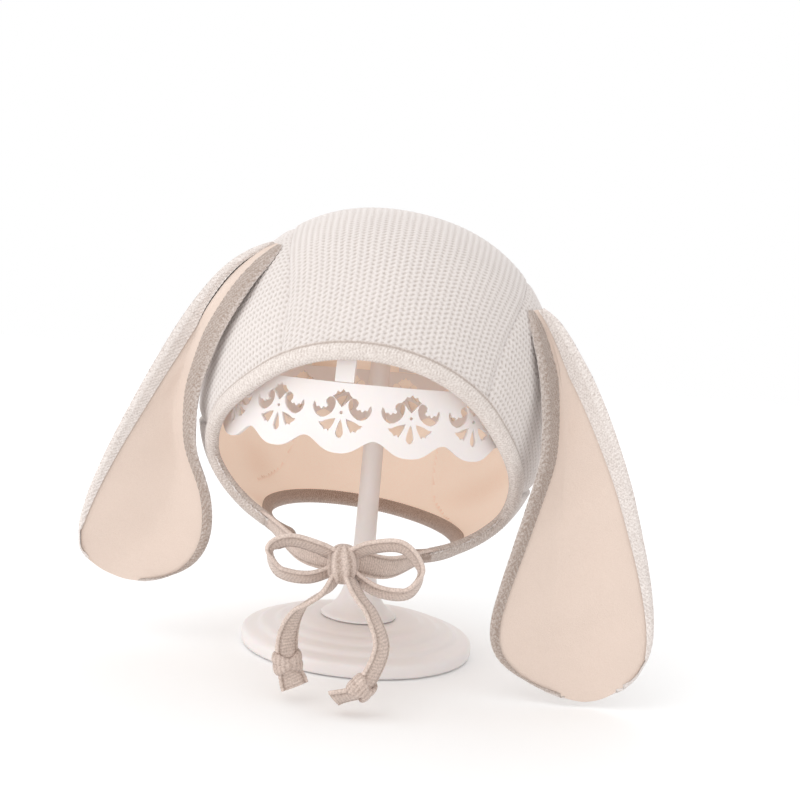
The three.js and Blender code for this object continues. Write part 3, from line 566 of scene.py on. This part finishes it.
def centre_grid(rows, columns, inset, neck_margin=0.0):
    """The strip's points, in rows from the face opening's edge over the crown to the neck's."""
    u = np.linspace(-1, 1, columns)
    front, back = centre_limits(u, inset, neck_margin)
    share = np.linspace(0, 1, rows)[:, None]
    turn = front + (back - front) * share
    return centre_points(np.broadcast_to(u, turn.shape).copy(), turn, inset)


def across_from(points, column):
    """How far each point of a grid lies from one of its columns, along its row."""
    across = np.cumsum(np.linalg.norm(np.diff(points, axis=1, prepend=points[:, :1]), axis=-1), axis=1)
    return across - across[:, column:column + 1]


points = centre_grid(CENTRE_ROWS, CENTRE_COLUMNS, 0.0)
spine = CENTRE_COLUMNS // 2
across = across_from(points, spine)
along = np.cumsum(np.linalg.norm(np.diff(points, axis=0, prepend=points[:1]), axis=-1), axis=0)
# Every row has the crown's number of ridges: they draw together where the strip narrows
stretch = np.abs(across[CENTRE_ROWS // 2]).max() / np.maximum(np.abs(across).max(axis=1, keepdims=True), 1)
height, painted_shade_and_pattern = waffle(across * stretch, along[:, spine:spine + 1] + 0 * across)
to_seam = np.abs(across).max(axis=1, keepdims=True) - np.abs(across)
dip = SEAM_DEPTH * np.exp(-(to_seam / SEAM_WIDTH) ** 2)
points = points + outward(points) * (POCKET_DEPTH * height - dip - into_binding(points))[..., None]
# The pockets carry painted shade: the cloth is painted darker in them
centre_panel = add_grid("centre_panel_cloth", lean(points), waffle_cloth,
                        marks={"painted_shade_and_pattern": painted_shade_and_pattern * POCKET_SHADE})
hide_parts("centre_panel")

# Side panels: one on each side of the head, sewn under the centre panel's edges. Their ridges run
# down and back, about in line with the edge of the face opening.
SIDE_RIDGE_TURN = math.radians(42)
SIDE_UNDERLAP = 1.2
SIDE_REACH = 96.0


def side_points(sign, a, b, inset):
    """Points of a side panel from flat places a and b, in millimetres from the panel's middle."""
    angle = np.hypot(a, b) / HEAD_WIDTH
    round_x = np.arctan2(b, a)
    direction = np.stack([sign * np.cos(angle), np.sin(angle) * np.cos(round_x),
                          np.sin(angle) * np.sin(round_x)], -1)
    return reach(np.zeros(3), direction, inset)


def side_grid(sign, step_a, step_b, inset, underlap, face_margin=0.0, neck_margin=0.0):
    """A grid laid along the ridges over the whole side of the head, and which of its points to keep."""
    ridge_way = np.arange(-SIDE_REACH, SIDE_REACH, step_a)
    cross_way = np.arange(-SIDE_REACH, SIDE_REACH, step_b)
    along, across = np.meshgrid(ridge_way, cross_way, indexing="ij")
    y = -along * math.sin(SIDE_RIDGE_TURN) + across * math.cos(SIDE_RIDGE_TURN)
    z = along * math.cos(SIDE_RIDGE_TURN) + across * math.sin(SIDE_RIDGE_TURN)
    points = side_points(sign, y, z, inset)
    wide = np.abs(points[..., 0]) > panel_half(points[..., 1]) - underlap
    wide |= under_side(points - np.array([0, underlap, 0]))
    above = points[..., 2] > neck_height(points[..., 0], points[..., 1]) - neck_margin
    keep = wide & above & ~in_face(points, face_margin) & (np.sign(points[..., 0]) == sign)
    return points, along, across, keep


for side, sign in (("left", -1), ("right", 1)):
    points, along, across, keep = side_grid(sign, POCKET_PITCH / 4, RIDGE_PITCH / 4, 0.0, SIDE_UNDERLAP)
    height, painted_shade_and_pattern = waffle(across, along)
    over = np.abs(points[..., 0]) - panel_half(points[..., 1])
    over = np.where(under_side(points), np.maximum(over, SEAM_TURN - points[..., 1]), over)
    dip = SEAM_DEPTH * np.exp(-(np.maximum(over, 0) / SEAM_WIDTH) ** 2) + 0.25 * (over < 0.3)
    points = points + outward(points) * (POCKET_DEPTH * height - dip - into_binding(points))[..., None]
    # The pockets carry painted shade: the cloth is painted darker in them
    panel = add_grid(f"side_cloth_{side}", lean(points), waffle_cloth, keep=keep,
                     marks={"painted_shade_and_pattern": painted_shade_and_pattern * POCKET_SHADE})
    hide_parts(f"side_panel_{side}")

# Lining: warm cream jersey of the same three panels, laid inside the waffle cloth and a little slack.
LINING_INSET = 3.0
LINING_ROWS, LINING_COLUMNS, LINING_STEP = 180, 70, 1.6
LINING_UNDERLAP, LINING_FACE_MARGIN, LINING_NECK_MARGIN = 2.0, 2.2, -1.2
# The lining glows a little: painted light that stands in for light coming through the thin cloth
lining_cloth = cloth_paint("lining_cloth", (0.87, 0.74, 0.64), (0.62, 0.455, 0.34), fibre_scale=1800,
                           fibre_depth=0.00015, mark="painted_shade_and_pattern", patch=0.15, glow=0.27)


def slack(p):
    """Soft hollows of a slack cloth, in millimetres."""
    x, y, z = p[..., 0], p[..., 1], p[..., 2]
    return 1.0 * np.sin(x / 13 + y / 21 + 1.0) * np.sin(z / 17 - x / 29) + 0.5 * np.sin(y / 9 + z / 14)


def joined(parts):
    """One object of several, with the first one's name."""
    bpy.ops.object.select_all(action="DESELECT")
    for part in parts:
        part.select_set(True)
    bpy.context.view_layer.objects.active = parts[0]
    bpy.ops.object.join()
    return parts[0]


def add_lining(name, points, seam, keep=None):
    """Cloth that hangs slack, with a seam's mark from 0 to 1; painted shade lies in its folds and seams."""
    fold_shade = np.clip(slack(points) / 1.5, 0, 1) ** 2
    points = points - outward(points) * (slack(points) * 0.5 + 0.3 - 0.9 * seam)[..., None]
    return add_grid(name, lean(points), lining_cloth, keep=keep, marks={"painted_shade_and_pattern": 0.5 * fold_shade + 0.8 * seam})


seam_distance = (1 - np.abs(np.linspace(-1, 1, LINING_COLUMNS))) * PANEL_HALF_WIDTH
lining_parts = [add_lining("lining_cloth_panels",
                           centre_grid(LINING_ROWS, LINING_COLUMNS, LINING_INSET, LINING_NECK_MARGIN),
                           np.exp(-(seam_distance / 1.5) ** 2)[None, :])]
for sign in (-1, 1):
    points, _, _, keep = side_grid(sign, LINING_STEP, LINING_STEP, LINING_INSET, LINING_UNDERLAP,
                                   LINING_FACE_MARGIN, LINING_NECK_MARGIN)
    lining_parts.append(add_lining(f"lining_side_{sign}", points, 0.0, keep))
lining = joined(lining_parts)
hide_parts("lining")

# Bindings: melange rib knit, pale at the face and taupe at the neck, folded round the raw edges of the
# face opening and of the neck and stitched down in a groove along their outer side.
BAND_HALF_WIDTH, BAND_HALF_THICKNESS = 3.9, 2.7
NECK_BAND_HALF_WIDTH = 3.5
BAND_INSET = 1.65
BAND_AROUND = 28
FACE_STEPS, NECK_STEPS = 1150, 760
GROOVE_PLACE, GROOVE_DEPTH, GROOVE_WIDTH = 0.70, 0.45, 0.12
RIB_PITCH, RIB_DEPTH = 1.25, 0.14
rib_cloth = cloth_paint("rib_cloth", (0.74, 0.61, 0.54), (0.34, 0.25, 0.205), fibre_scale=1500,
                        fibre_depth=0.0004, mark="painted_shade_and_pattern", patch=0.6, sheen=0.35)
pale_rib_cloth = cloth_paint("pale_rib_cloth", (0.84, 0.775, 0.735), (0.46, 0.38, 0.335), fibre_scale=1300,
                             fibre_depth=0.0004, mark="painted_shade_and_pattern", patch=0.6, sheen=0.35)


def smooth_path(points, count):
    """A Catmull-Rom curve through the points, then even steps along it."""
    points = np.asarray(points, dtype=float)
    padded = np.vstack([2 * points[0] - points[1], points, 2 * points[-1] - points[-2]])
    t = np.linspace(0, len(points) - 1, 24 * len(points))
    k = np.minimum(t.astype(int), len(points) - 2)
    f = (t - k)[:, None]
    a, b, c, d = (padded[k + i] for i in range(4))
    path = 0.5 * (2 * b + (c - a) * f + (2 * a - 5 * b + 4 * c - d) * f ** 2
                  + (3 * b - a - 3 * c + d) * f ** 3)
    length = np.concatenate([[0], np.cumsum(np.linalg.norm(np.diff(path, axis=0), axis=1))])
    even = np.linspace(0, length[-1], count)
    return np.stack([np.interp(even, length, path[:, i]) for i in range(3)], -1), length[-1]


def head_normal(p):
    """The head form's outward direction at points on it."""
    step = 0.5
    here = outside(p)
    slope = [outside(p + step * np.eye(3)[i]) - here for i in range(3)]
    return unit(np.stack(slope, -1))


def blunt(values, power):
    """Sines and cosines of an oval with fuller corners."""
    return np.sign(values) * np.abs(values) ** power


def binding(name, path, length, half_width, paint):
    """A folded strip along a path on the head form; w and t run over its width and thickness."""
    angle = np.linspace(0, 2 * np.pi, BAND_AROUND, endpoint=False)
    w, t = blunt(np.cos(angle), 0.8), blunt(np.sin(angle), 0.8)
    along = unit(np.gradient(path, axis=0))
    across = unit(np.cross(along, head_normal(path)))
    normal = np.cross(across, along)
    s = np.linspace(0, length, len(path))[:, None]
    rib = 0.5 - 0.5 * np.cos(2 * np.pi * s / RIB_PITCH)
    groove = np.exp(-((w + GROOVE_PLACE) / GROOVE_WIDTH) ** 2) * (t > 0)
    size = 1 - RIB_DEPTH / BAND_HALF_THICKNESS * rib * (1 - groove[None, :])
    taper = np.minimum(1, np.minimum(s, length - s) / 4 + 0.55)
    tw = w[None, :] * half_width * size * taper
    tt = t[None, :] * BAND_HALF_THICKNESS * size * taper - GROOVE_DEPTH * groove[None, :]
    points = path[:, None] + across[:, None] * tw[..., None] + normal[:, None] * tt[..., None]
    # Small chevrons of the knit show as a faint dark thread pattern over the ribs
    chevron = 0.5 + 0.5 * np.cos(2 * np.pi * (s + 0.9 * np.abs(w)[None, :] * half_width) / RIB_PITCH)
    # Painted shade: the binding is painted darker lower down the head and in its stitched groove
    shade_low_down = 0.42 * np.clip((-path[:, 2:3] - 5) / 45, 0, 1)
    painted_shade_and_pattern = shade_low_down[:, None, 0] + 0.28 * chevron * (1 - groove[None, :]) + 0.9 * groove[None, :]
    return add_grid(name, lean(points), paint, wrap_columns=True, marks={"painted_shade_and_pattern": painted_shade_and_pattern}, caps=True)


face_x = np.concatenate([-FACE_X[:0:-1], FACE_X]) * HEAD_WIDTH
face_z = np.concatenate([FACE_Z[:0:-1], FACE_Z])
face_z = face_z * np.where(face_z > 0, CROWN_RISE, HEAD_DROP)
half_x, half_y = section(face_z, BAND_INSET)
face_y = -half_y * np.sqrt(np.maximum(1 - (face_x / half_x) ** 2, 0))
face_path, face_length = smooth_path(np.stack([face_x, face_y, face_z], -1), FACE_STEPS)
front_band = binding("front_binding", face_path, face_length, BAND_HALF_WIDTH, pale_rib_cloth)
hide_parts("front_band")

NECK_START = 0.60
neck_turn = np.linspace(NECK_START, 2 * np.pi - NECK_START, 60)
neck_z = np.full_like(neck_turn, NECK_BACK)
for _ in range(8):
    half_x, half_y = section(neck_z, BAND_INSET)
    neck_z = neck_height(np.sin(neck_turn) * half_x, -np.cos(neck_turn) * half_y)
neck_points = np.stack([np.sin(neck_turn) * half_x, -np.cos(neck_turn) * half_y, neck_z], -1)
neck_path, neck_length = smooth_path(neck_points, NECK_STEPS)
neck_band = binding("neck_binding", neck_path, neck_length, NECK_BAND_HALF_WIDTH, rib_cloth)
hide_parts("neck_band")

# Ears: two long lop ears, folded lengthwise where they are sewn into the seams and opening downward.
# The back is waffle cloth that is turned over both side edges, and the face is smooth jersey.
EAR_LENGTH, EAR_WIDTH = 156.0, 66.0
EAR_BORDER = 6.5
EAR_STAND_OFF = 3.5
DRAPE_SHARE = 0.8
EAR_HALF_THICKNESS = 1.5
EAR_FULL_TIP = 3.0
EAR_STEPS, BORDER_STEPS, BACK_STEPS, FACE_STEPS_ACROSS, GUIDE_STEPS = 290, 14, 116, 48, 200
BORDER_RIB_PITCH = 1.9
EAR_ROOT = {"left": (-53.8, -29.0), "right": (51.6, -37.5)}
EAR_HANG = {"left": (-0.319, 0.058, -0.946), "right": (0.197, -0.158, -0.968)}
EAR_COLUMNS = ("share", "left", "right", "valley", "depth", "swing")
EAR_ROWS = {
    "left": [(0.00, -0.05, 0.02, 0.70, 0.04, 0.00), (0.05, -0.17, 0.00, 0.70, 0.05, 0.00),
             (0.10, -0.25, -0.04, 0.70, 0.07, 0.02), (0.20, -0.33, -0.08, 0.72, 0.08, 0.04),
             (0.30, -0.38, -0.11, 0.76, 0.09, 0.06), (0.45, -0.43, -0.10, 0.73, 0.10, 0.07),
             (0.60, -0.47, 0.02, 0.68, 0.12, 0.06), (0.70, -0.49, 0.23, 0.62, 0.12, 0.05),
             (0.80, -0.50, 0.32, 0.57, 0.10, 0.03), (0.88, -0.49, 0.31, 0.54, 0.08, 0.02),
             (0.94, -0.47, 0.22, 0.51, 0.06, 0.00), (0.98, -0.43, 0.10, 0.50, 0.05, 0.00),
             (1.00, -0.34, 0.00, 0.50, 0.04, 0.00)],
    "right": [(0.00, 0.00, 0.10, 0.45, 0.04, 0.00), (0.05, 0.01, 0.20, 0.45, 0.06, 0.00),
              (0.10, 0.02, 0.24, 0.44, 0.09, 0.02), (0.20, 0.03, 0.33, 0.42, 0.13, 0.05),
              (0.30, 0.01, 0.39, 0.38, 0.16, 0.07), (0.40, -0.03, 0.44, 0.36, 0.17, 0.07),
              (0.50, -0.14, 0.48, 0.36, 0.16, 0.06), (0.60, -0.25, 0.50, 0.38, 0.14, 0.05),
              (0.70, -0.36, 0.52, 0.41, 0.11, 0.03), (0.80, -0.46, 0.52, 0.44, 0.09, 0.02),
              (0.88, -0.46, 0.50, 0.47, 0.08, 0.01), (0.94, -0.32, 0.45, 0.49, 0.06, 0.00),
              (0.98, -0.16, 0.36, 0.50, 0.05, 0.00), (1.00, -0.06, 0.24, 0.50, 0.03, 0.00)],
}
ear_cloth = cloth_paint("ear_cloth", (0.74, 0.61, 0.53), (0.66, 0.525, 0.445), fibre_scale=2200,
                        fibre_depth=0.0002, patch=0.45)
border_cloth = cloth_paint("border_cloth", (0.86, 0.80, 0.765), (0.36, 0.28, 0.235), fibre_scale=1500,
                           fibre_depth=0.0003, mark="painted_shade_and_pattern", patch=0.5)


def on_head(p):
    """From the stand's frame to the bonnet's own."""
    x, z = p[..., 0], p[..., 2] - PIVOT_HEIGHT
    return np.stack([x * math.cos(LEAN) - z * math.sin(LEAN), p[..., 1],
                     x * math.sin(LEAN) + z * math.cos(LEAN)], -1)


def draped(p, stand_off):
    """Points of an ear, none of them behind the front of the bonnet or the tangent past its side."""
    q = on_head(p)
    half_x, half_y = section(np.clip(q[..., 2], -HEAD_DROP + 1, CROWN_RISE - 1))
    half_x, half_y = half_x + stand_off, half_y + stand_off
    near = np.minimum(np.abs(q[..., 0]), half_x * DRAPE_SHARE)
    slope = DRAPE_SHARE / math.sqrt(1 - DRAPE_SHARE ** 2) * half_y / half_x
    front = -half_y * np.sqrt(1 - (near / half_x) ** 2) + (np.abs(q[..., 0]) - near) * slope
    inside = (q[..., 2] > -HEAD_DROP) & (q[..., 2] < CROWN_RISE)
    gap = q[..., 1] - front
    # A soft minimum, so that the cloth leaves the head without a crease
    push = np.where(inside, 0.5 * (gap + np.sqrt(gap ** 2 + 4.0)), 0)
    q[..., 1] -= push
    return lean(q)


class Ear:
    """The middle surface of one ear."""

    def __init__(self, side):
        self.sign = -1 if side == "left" else 1
        self.table = dict(zip(EAR_COLUMNS, np.array(EAR_ROWS[side]).T))
        self.root = lean(reach(np.array([*EAR_ROOT[side], 0.0]), np.array([0.0, 0.0, 1.0])))
        self.down = unit(np.array(EAR_HANG[side]))
        back = np.array([0.0, 1.0, 0.0])
        self.back = unit(back - back.dot(self.down) * self.down)
        side_way = np.cross(self.back, self.down)
        self.side_way = side_way * (1 if side_way[0] > 0 else -1)

    def column(self, name, share):
        width = np.clip(np.minimum(share, 1 - share) * 1.2, 0.004, 0.06)
        return softened(self.table["share"], self.table[name], share, width)

    def points(self, share, across):
        left, right = self.column("left", share), self.column("right", share)
        valley = self.column("valley", share)
        side = (left + (right - left) * across) * EAR_WIDTH
        to_edge = np.where(across < valley, (valley - across) / valley, (across - valley) / (1 - valley))
        dip = self.column("depth", share) * (1 - np.sqrt(to_edge ** 2 + 0.01) ** 1.4) * EAR_WIDTH
        behind = dip - self.column("swing", share) * EAR_WIDTH
        tip = np.clip((share - 0.88) / 0.12, 0, 1) ** 2 * (1 - (2 * across - 1) ** 2) * EAR_FULL_TIP
        p = (self.root + self.down * (share * EAR_LENGTH + tip)[..., None] + self.side_way * side[..., None]
             + self.back * behind[..., None])
        return draped(p, EAR_STAND_OFF * np.minimum(share / 0.15, 1))


def at_columns(grid, across):
    """A grid's values at places from 0 to 1 across it."""
    column = np.clip(across * (GUIDE_STEPS - 1), 0, GUIDE_STEPS - 1).astype(int)
    return np.take_along_axis(grid, column[..., None].repeat(3, -1), axis=1)


def make_ear(side):
    """The back with its turned borders, and the face that lies between them."""
    ear = Ear(side)
    # Steps down the ear lie closer together at its round tip
    share = 1 - (1 - np.linspace(0, 1, EAR_STEPS)[:, None]) ** 1.25
    width = (ear.column("right", share) - ear.column("left", share)) * EAR_WIDTH
    border = EAR_BORDER * np.clip((0.93 - share) / 0.75, 0.0, 1.0) ** 0.5
    turn_in = np.minimum(border / width, 0.34)
    # Once round the ear: the turned border of one edge, the whole back, and the other border
    b = np.linspace(0, 1, BORDER_STEPS)
    back = np.broadcast_to(np.linspace(0, 1, BACK_STEPS), (EAR_STEPS, BACK_STEPS))
    across = np.concatenate([turn_in * (1 - b), back, 1 - turn_in * b], axis=1)
    layer = np.repeat([-1.0, 1.0, -1.0], [BORDER_STEPS, BACK_STEPS, BORDER_STEPS])
    layer = np.convolve(np.pad(layer, 3, mode="edge"), np.ones(7) / 7, mode="valid")[None, :]
    middle = ear.points(np.broadcast_to(share, across.shape), across)
    guide = (EAR_STEPS, GUIDE_STEPS)
    guide_points = ear.points(np.broadcast_to(share, guide),
                              np.broadcast_to(np.linspace(0, 1, GUIDE_STEPS), guide))
    guide_normals = grid_normals(guide_points, ear.back)
    normal = at_columns(guide_normals, across)
    plump = np.sqrt(np.clip(np.minimum(share / 0.05, (1 - share) / 0.02), 0.0, 1.0))
    at_edge = np.sqrt(np.maximum(1 - layer ** 2, 0)) * plump
    push = ear.side_way * np.where(across < 0.5, -1, 1)[..., None] * at_edge[..., None] * 0.9
    points = middle + normal * (layer * EAR_HALF_THICKNESS * plump)[..., None] + push
    flat_across = across_from(points, BORDER_STEPS + BACK_STEPS // 2)
    height, painted_shade_and_pattern = waffle(flat_across + 0 * share, share * EAR_LENGTH + 0 * across)
    # The turned borders show the knit as fine slanting ribs with painted shade in their furrows, and the one
    # beside the head is painted darker as shade
    at_border = np.clip(0.5 - 0.5 * layer, 0, 1) * np.ones_like(share)
    slant_way = share * EAR_LENGTH * 0.9 + flat_across * ear.sign
    slant = 0.5 + 0.5 * np.cos(2 * np.pi * slant_way / BORDER_RIB_PITCH)
    shade_by_head = (across > 0.5) if side == "left" else (across < 0.5)
    height = height * (1 - at_border) - 0.55 * slant * at_border
    painted_shade_and_pattern = painted_shade_and_pattern * (1 - at_border) + at_border * (0.30 * slant + 0.80 * shade_by_head - 0.08)
    even_tip = plump * np.clip((0.985 - share) / 0.03, 0.0, 1.0)
    relief = np.sign(layer) * POCKET_DEPTH * 0.8 * height * even_tip
    points = points + normal * relief[..., None]
    outer = add_grid(f"ear_back_{side}", points, waffle_cloth, marks={"painted_shade_and_pattern": painted_shade_and_pattern * POCKET_SHADE})
    outer.data.materials.append(border_cloth)
    columns = across.shape[1]
    for face in outer.data.polygons:
        column_at = face.vertices[0] % columns
        if column_at < BORDER_STEPS - 1 or column_at >= columns - BORDER_STEPS:
            face.material_index = 1
    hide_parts(f"ear_{side}_outer")
    # Face: a jersey leaf under the borders, slightly full between them
    face_across = np.linspace(0, 1, FACE_STEPS_ACROSS)[None, :]
    inset = np.maximum(turn_in - 0.03, 0.004)
    across = inset + (1 - 2 * inset) * face_across
    middle = ear.points(np.broadcast_to(share, across.shape), across)
    normal = at_columns(guide_normals, across)
    fullness = 0.25 + 0.95 * np.sin(np.pi * face_across) ** 0.4
    ripple = 0.35 * np.sin(share * 31 + face_across * 5) * np.sin(np.pi * face_across)
    points = middle - normal * ((fullness + ripple) * plump)[..., None]
    inner = add_grid(f"ear_face_{side}", points, ear_cloth)
    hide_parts(f"ear_{side}_inner")
    return outer, inner


for side in ("left", "right"):
    for piece in make_ear(side):
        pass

# Chin ties and bow: strips of the same rib knit, folded and stitched along both edges. One runs from each
# lower corner of the face opening to the knot under the chin. Two loops and two tails leave the knot.
TIE_WIDTH, TIE_THICKNESS = 9.5, 2.4
TIE_AROUND = 26
STITCH_PLACE, STITCH_WIDTH, STITCH_DEPTH = 0.70, 0.09, 0.5
KNOT_SIZE = (12.0, 14.0, 15.0)
KNOT_FORWARD, KNOT_DROP = 82.0, 57.0
TIE_LAP_STEPS, TIE_FORWARD, TIE_SAG = 49, 2.0, 3.0
TAIL_LENGTH = 58.0
TAIL_KNOT_PLACE, TAIL_KNOT_REACH = 0.82, 3.4
WRAP_REACH, WRAP_LIFT, WRAP_HALF_WIDTH, WRAP_HALF_THICKNESS = 4.6, 3.0, 2.3, 1.1
WRAP_SLANTS = (0.55, -0.35)
knot = lean(np.array([0.0, -KNOT_FORWARD, -KNOT_DROP]))


def knot_wrap(name, centre, wide, along, normal, slant):
    """One turn of a small knot: a strip that goes round the tail aslant and bulges where it crosses."""
    turn = np.linspace(0, 2 * np.pi, 96, endpoint=False)
    w = blunt(np.cos(turn), 0.8) * WRAP_REACH
    t = np.sin(turn) * WRAP_LIFT
    ring_path = centre + np.outer(w, wide) + np.outer(t, normal) + np.outer(w * slant, along)
    out_way = np.outer(np.cos(turn), wide) + np.outer(np.sin(turn), normal)
    side_way = unit(along + slant * -0.2 * wide)
    around = np.linspace(0, 2 * np.pi, 16, endpoint=False)
    swell = 1 + 0.15 * np.cos(2 * turn)[:, None]
    a, b = np.cos(around) * WRAP_HALF_WIDTH * swell, np.sin(around) * WRAP_HALF_THICKNESS * swell
    points = ring_path[:, None] + a[..., None] * side_way + b[..., None] * out_way[:, None]
    # Painted shade: darker in the furrows between its ribs and towards the edges of the strip
    painted_shade_and_pattern = 0.35 * (0.5 - 0.5 * np.cos(turn * 18))[:, None] + 0.3 * (np.abs(a) / WRAP_HALF_WIDTH) ** 4
    return add_grid(name, points, rib_cloth, wrap_rows=True, wrap_columns=True, marks={"painted_shade_and_pattern": painted_shade_and_pattern})


def tie(name, route, wide_start, wide_end, node_name, small_knot=False, steps=300, slim_start=False):
    """A strip along a route, whose width turns from one direction to another on the way."""
    path, length = smooth_path(route, steps)
    s = np.linspace(0, 1, steps)[:, None]
    wide = np.array(wide_start) * (1 - s) + np.array(wide_end) * s
    along = unit(np.gradient(path, axis=0))
    wide = unit(wide - (wide * along).sum(1, keepdims=True) * along)
    normal = np.cross(wide, along)
    angle = np.linspace(0, 2 * np.pi, TIE_AROUND, endpoint=False)
    w, t = blunt(np.cos(angle), 0.55), blunt(np.sin(angle), 0.8)
    mm = s * length
    rib = 0.5 - 0.5 * np.cos(2 * np.pi * mm / RIB_PITCH)
    groove = np.exp(-((np.abs(w) - STITCH_PLACE) / STITCH_WIDTH) ** 2)
    half_width = TIE_WIDTH / 2 * np.ones_like(s)
    half_thick = TIE_THICKNESS / 2 * np.ones_like(s)
    if small_knot:
        # The strip is gathered and thick in its small knot, and flares a little below it
        past_knot = (s - TAIL_KNOT_PLACE) * length
        near = np.exp(-(past_knot / TAIL_KNOT_REACH) ** 2)
        half_thick = half_thick + near * 1.6
        half_width = half_width * (1 - 0.20 * near) * (1 + 0.14 * np.clip(past_knot / 5 - 0.6, 0, 1))
    if slim_start:
        half_width = half_width * np.clip(0.62 + 0.38 * mm / 12, 0, 1)
    tw = w[None, :] * half_width * (1 - 0.02 * rib)
    tt = t[None, :] * (half_thick * (1 - 0.08 * rib * (np.abs(w) < 0.6)) - STITCH_DEPTH * groove[None, :])
    if small_knot:
        # Folds of the small knot run aslant over it
        tt *= 1 + 0.12 * near * np.cos(2 * np.pi * (past_knot + 1.3 * w[None, :] * half_width) / 2.4)
    points = path[:, None] + wide[:, None] * tw[..., None] + normal[:, None] * tt[..., None]
    # Painted shade: darker in the furrows between the ribs and in the stitched grooves
    painted_shade_and_pattern = 0.27 * rib * (np.abs(w) < 0.6) + 0.75 * groove[None, :]
    strip = add_grid(name, points, rib_cloth, wrap_columns=True, marks={"painted_shade_and_pattern": painted_shade_and_pattern}, caps=True)
    if small_knot:
        at = int(TAIL_KNOT_PLACE * (steps - 1))
        wraps = [knot_wrap(f"{name}_wrap_{k}", path[at], wide[at], along[at], normal[at], slant)
                 for k, slant in enumerate(WRAP_SLANTS)]
        strip = joined([strip] + wraps)
    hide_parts(node_name)


# Each chin tie starts inside the end of the front binding and lies in its plane there
for side, sign, corner_to_top in (("left", -1, face_path), ("right", 1, face_path[::-1])):
    corner, inner = corner_to_top[0], corner_to_top[TIE_LAP_STEPS]
    start = lean(corner + np.array([0, -0.6, 0]))
    finish = knot + np.array([sign * KNOT_SIZE[0] * 0.35, KNOT_SIZE[1] * 0.42, 0])
    middle = (start + finish) / 2 + np.array([0, -TIE_FORWARD, -TIE_SAG])
    band_wide = unit(np.cross(lean(corner) - lean(inner), lean(head_normal(corner)) - lean(np.zeros(3))))
    band_wide = band_wide if band_wide[2] > 0 else -band_wide
    tie(f"chin_strip_{side}", [lean(inner + np.array([0, -0.3, 0])), start, middle, finish], band_wide,
        (0, 0.25, 1), f"chin_tie_{side}", slim_start=True)

# Points of a loop, from the knot round and back: across, up or down, and to the back
LOOP_TURN = [(0.05, 0.25, 0.06), (0.35, 0.80, -0.08), (0.75, 1.00, -0.18), (1.00, 0.20, -0.20),
             (0.85, -0.80, -0.14), (0.45, -0.90, -0.04), (0.05, -0.25, 0.06)]
LOOPS = {"left": dict(sign=-1, reach=27, rise=6, drop=8, tilt=3),
         "right": dict(sign=1, reach=29, rise=10, drop=9, tilt=-1)}
LOOP_WIDTH_WAY = (0, 1, -0.75)
for side, loop in LOOPS.items():
    route = [knot + np.array([loop["sign"] * x * loop["reach"], y * loop["reach"],
                              rise * (loop["rise"] if rise > 0 else loop["drop"]) + x * loop["tilt"]])
             for x, rise, y in LOOP_TURN]
    tie(f"loop_strip_{side}", route, LOOP_WIDTH_WAY, LOOP_WIDTH_WAY, f"bow_loop_{side}", steps=420)

# Points of a tail from the knot down, as shares of its length
TAILS = {
    "left": dict(wide_start=(0.4, 1, 0.3), wide_end=(1, 0.3, 0.4),
                 route=[(0.00, 0.03, -0.03), (-0.10, -0.08, -0.17), (-0.25, -0.08, -0.30),
                        (-0.31, -0.06, -0.46), (-0.30, -0.04, -0.66), (-0.24, -0.03, -0.82)]),
    "right": dict(wide_start=(0.4, 1, -0.2), wide_end=(0.80, 0.62, -0.4),
                  route=[(0.03, 0.03, -0.03), (0.11, -0.14, -0.15), (0.22, -0.19, -0.28),
                         (0.29, -0.22, -0.48), (0.19, -0.22, -0.73), (0.02, -0.20, -0.82)]),
}
for side, tail in TAILS.items():
    route = [knot + np.array(place) * TAIL_LENGTH for place in tail["route"]]
    tie(f"tail_strip_{side}", route, tail["wide_start"], tail["wide_end"], f"tail_{side}",
        small_knot=True, steps=360)

# Bow's knot: one turn of the same strip, pulled tight over the loops' middle. It is a blunt, nearly
# round pad with nine soft pleats that run down over it, with painted shade in their folds.
PLEATS, PLEAT_DEPTH = 9, 0.06
down = np.linspace(0.02, np.pi - 0.02, 90)[:, None]
around = np.linspace(0, 2 * np.pi, 120, endpoint=False)[None, :]
pleat = 1 - PLEAT_DEPTH * (0.5 - 0.5 * np.cos(PLEATS * around + 2.0 * np.cos(down)))
body = np.stack([np.sin(down) * np.cos(around) * pleat, np.sin(down) * np.sin(around) * pleat,
                 np.cos(down) + 0 * around], -1)
points = knot + blunt(body, 0.85) * np.array(KNOT_SIZE) / 2
bow_knot = add_grid("bow_knot_wrap", points, rib_cloth, wrap_columns=True,
                    marks={"painted_shade_and_pattern": (1 - pleat) * 9}, caps=True)
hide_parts("bow_knot")
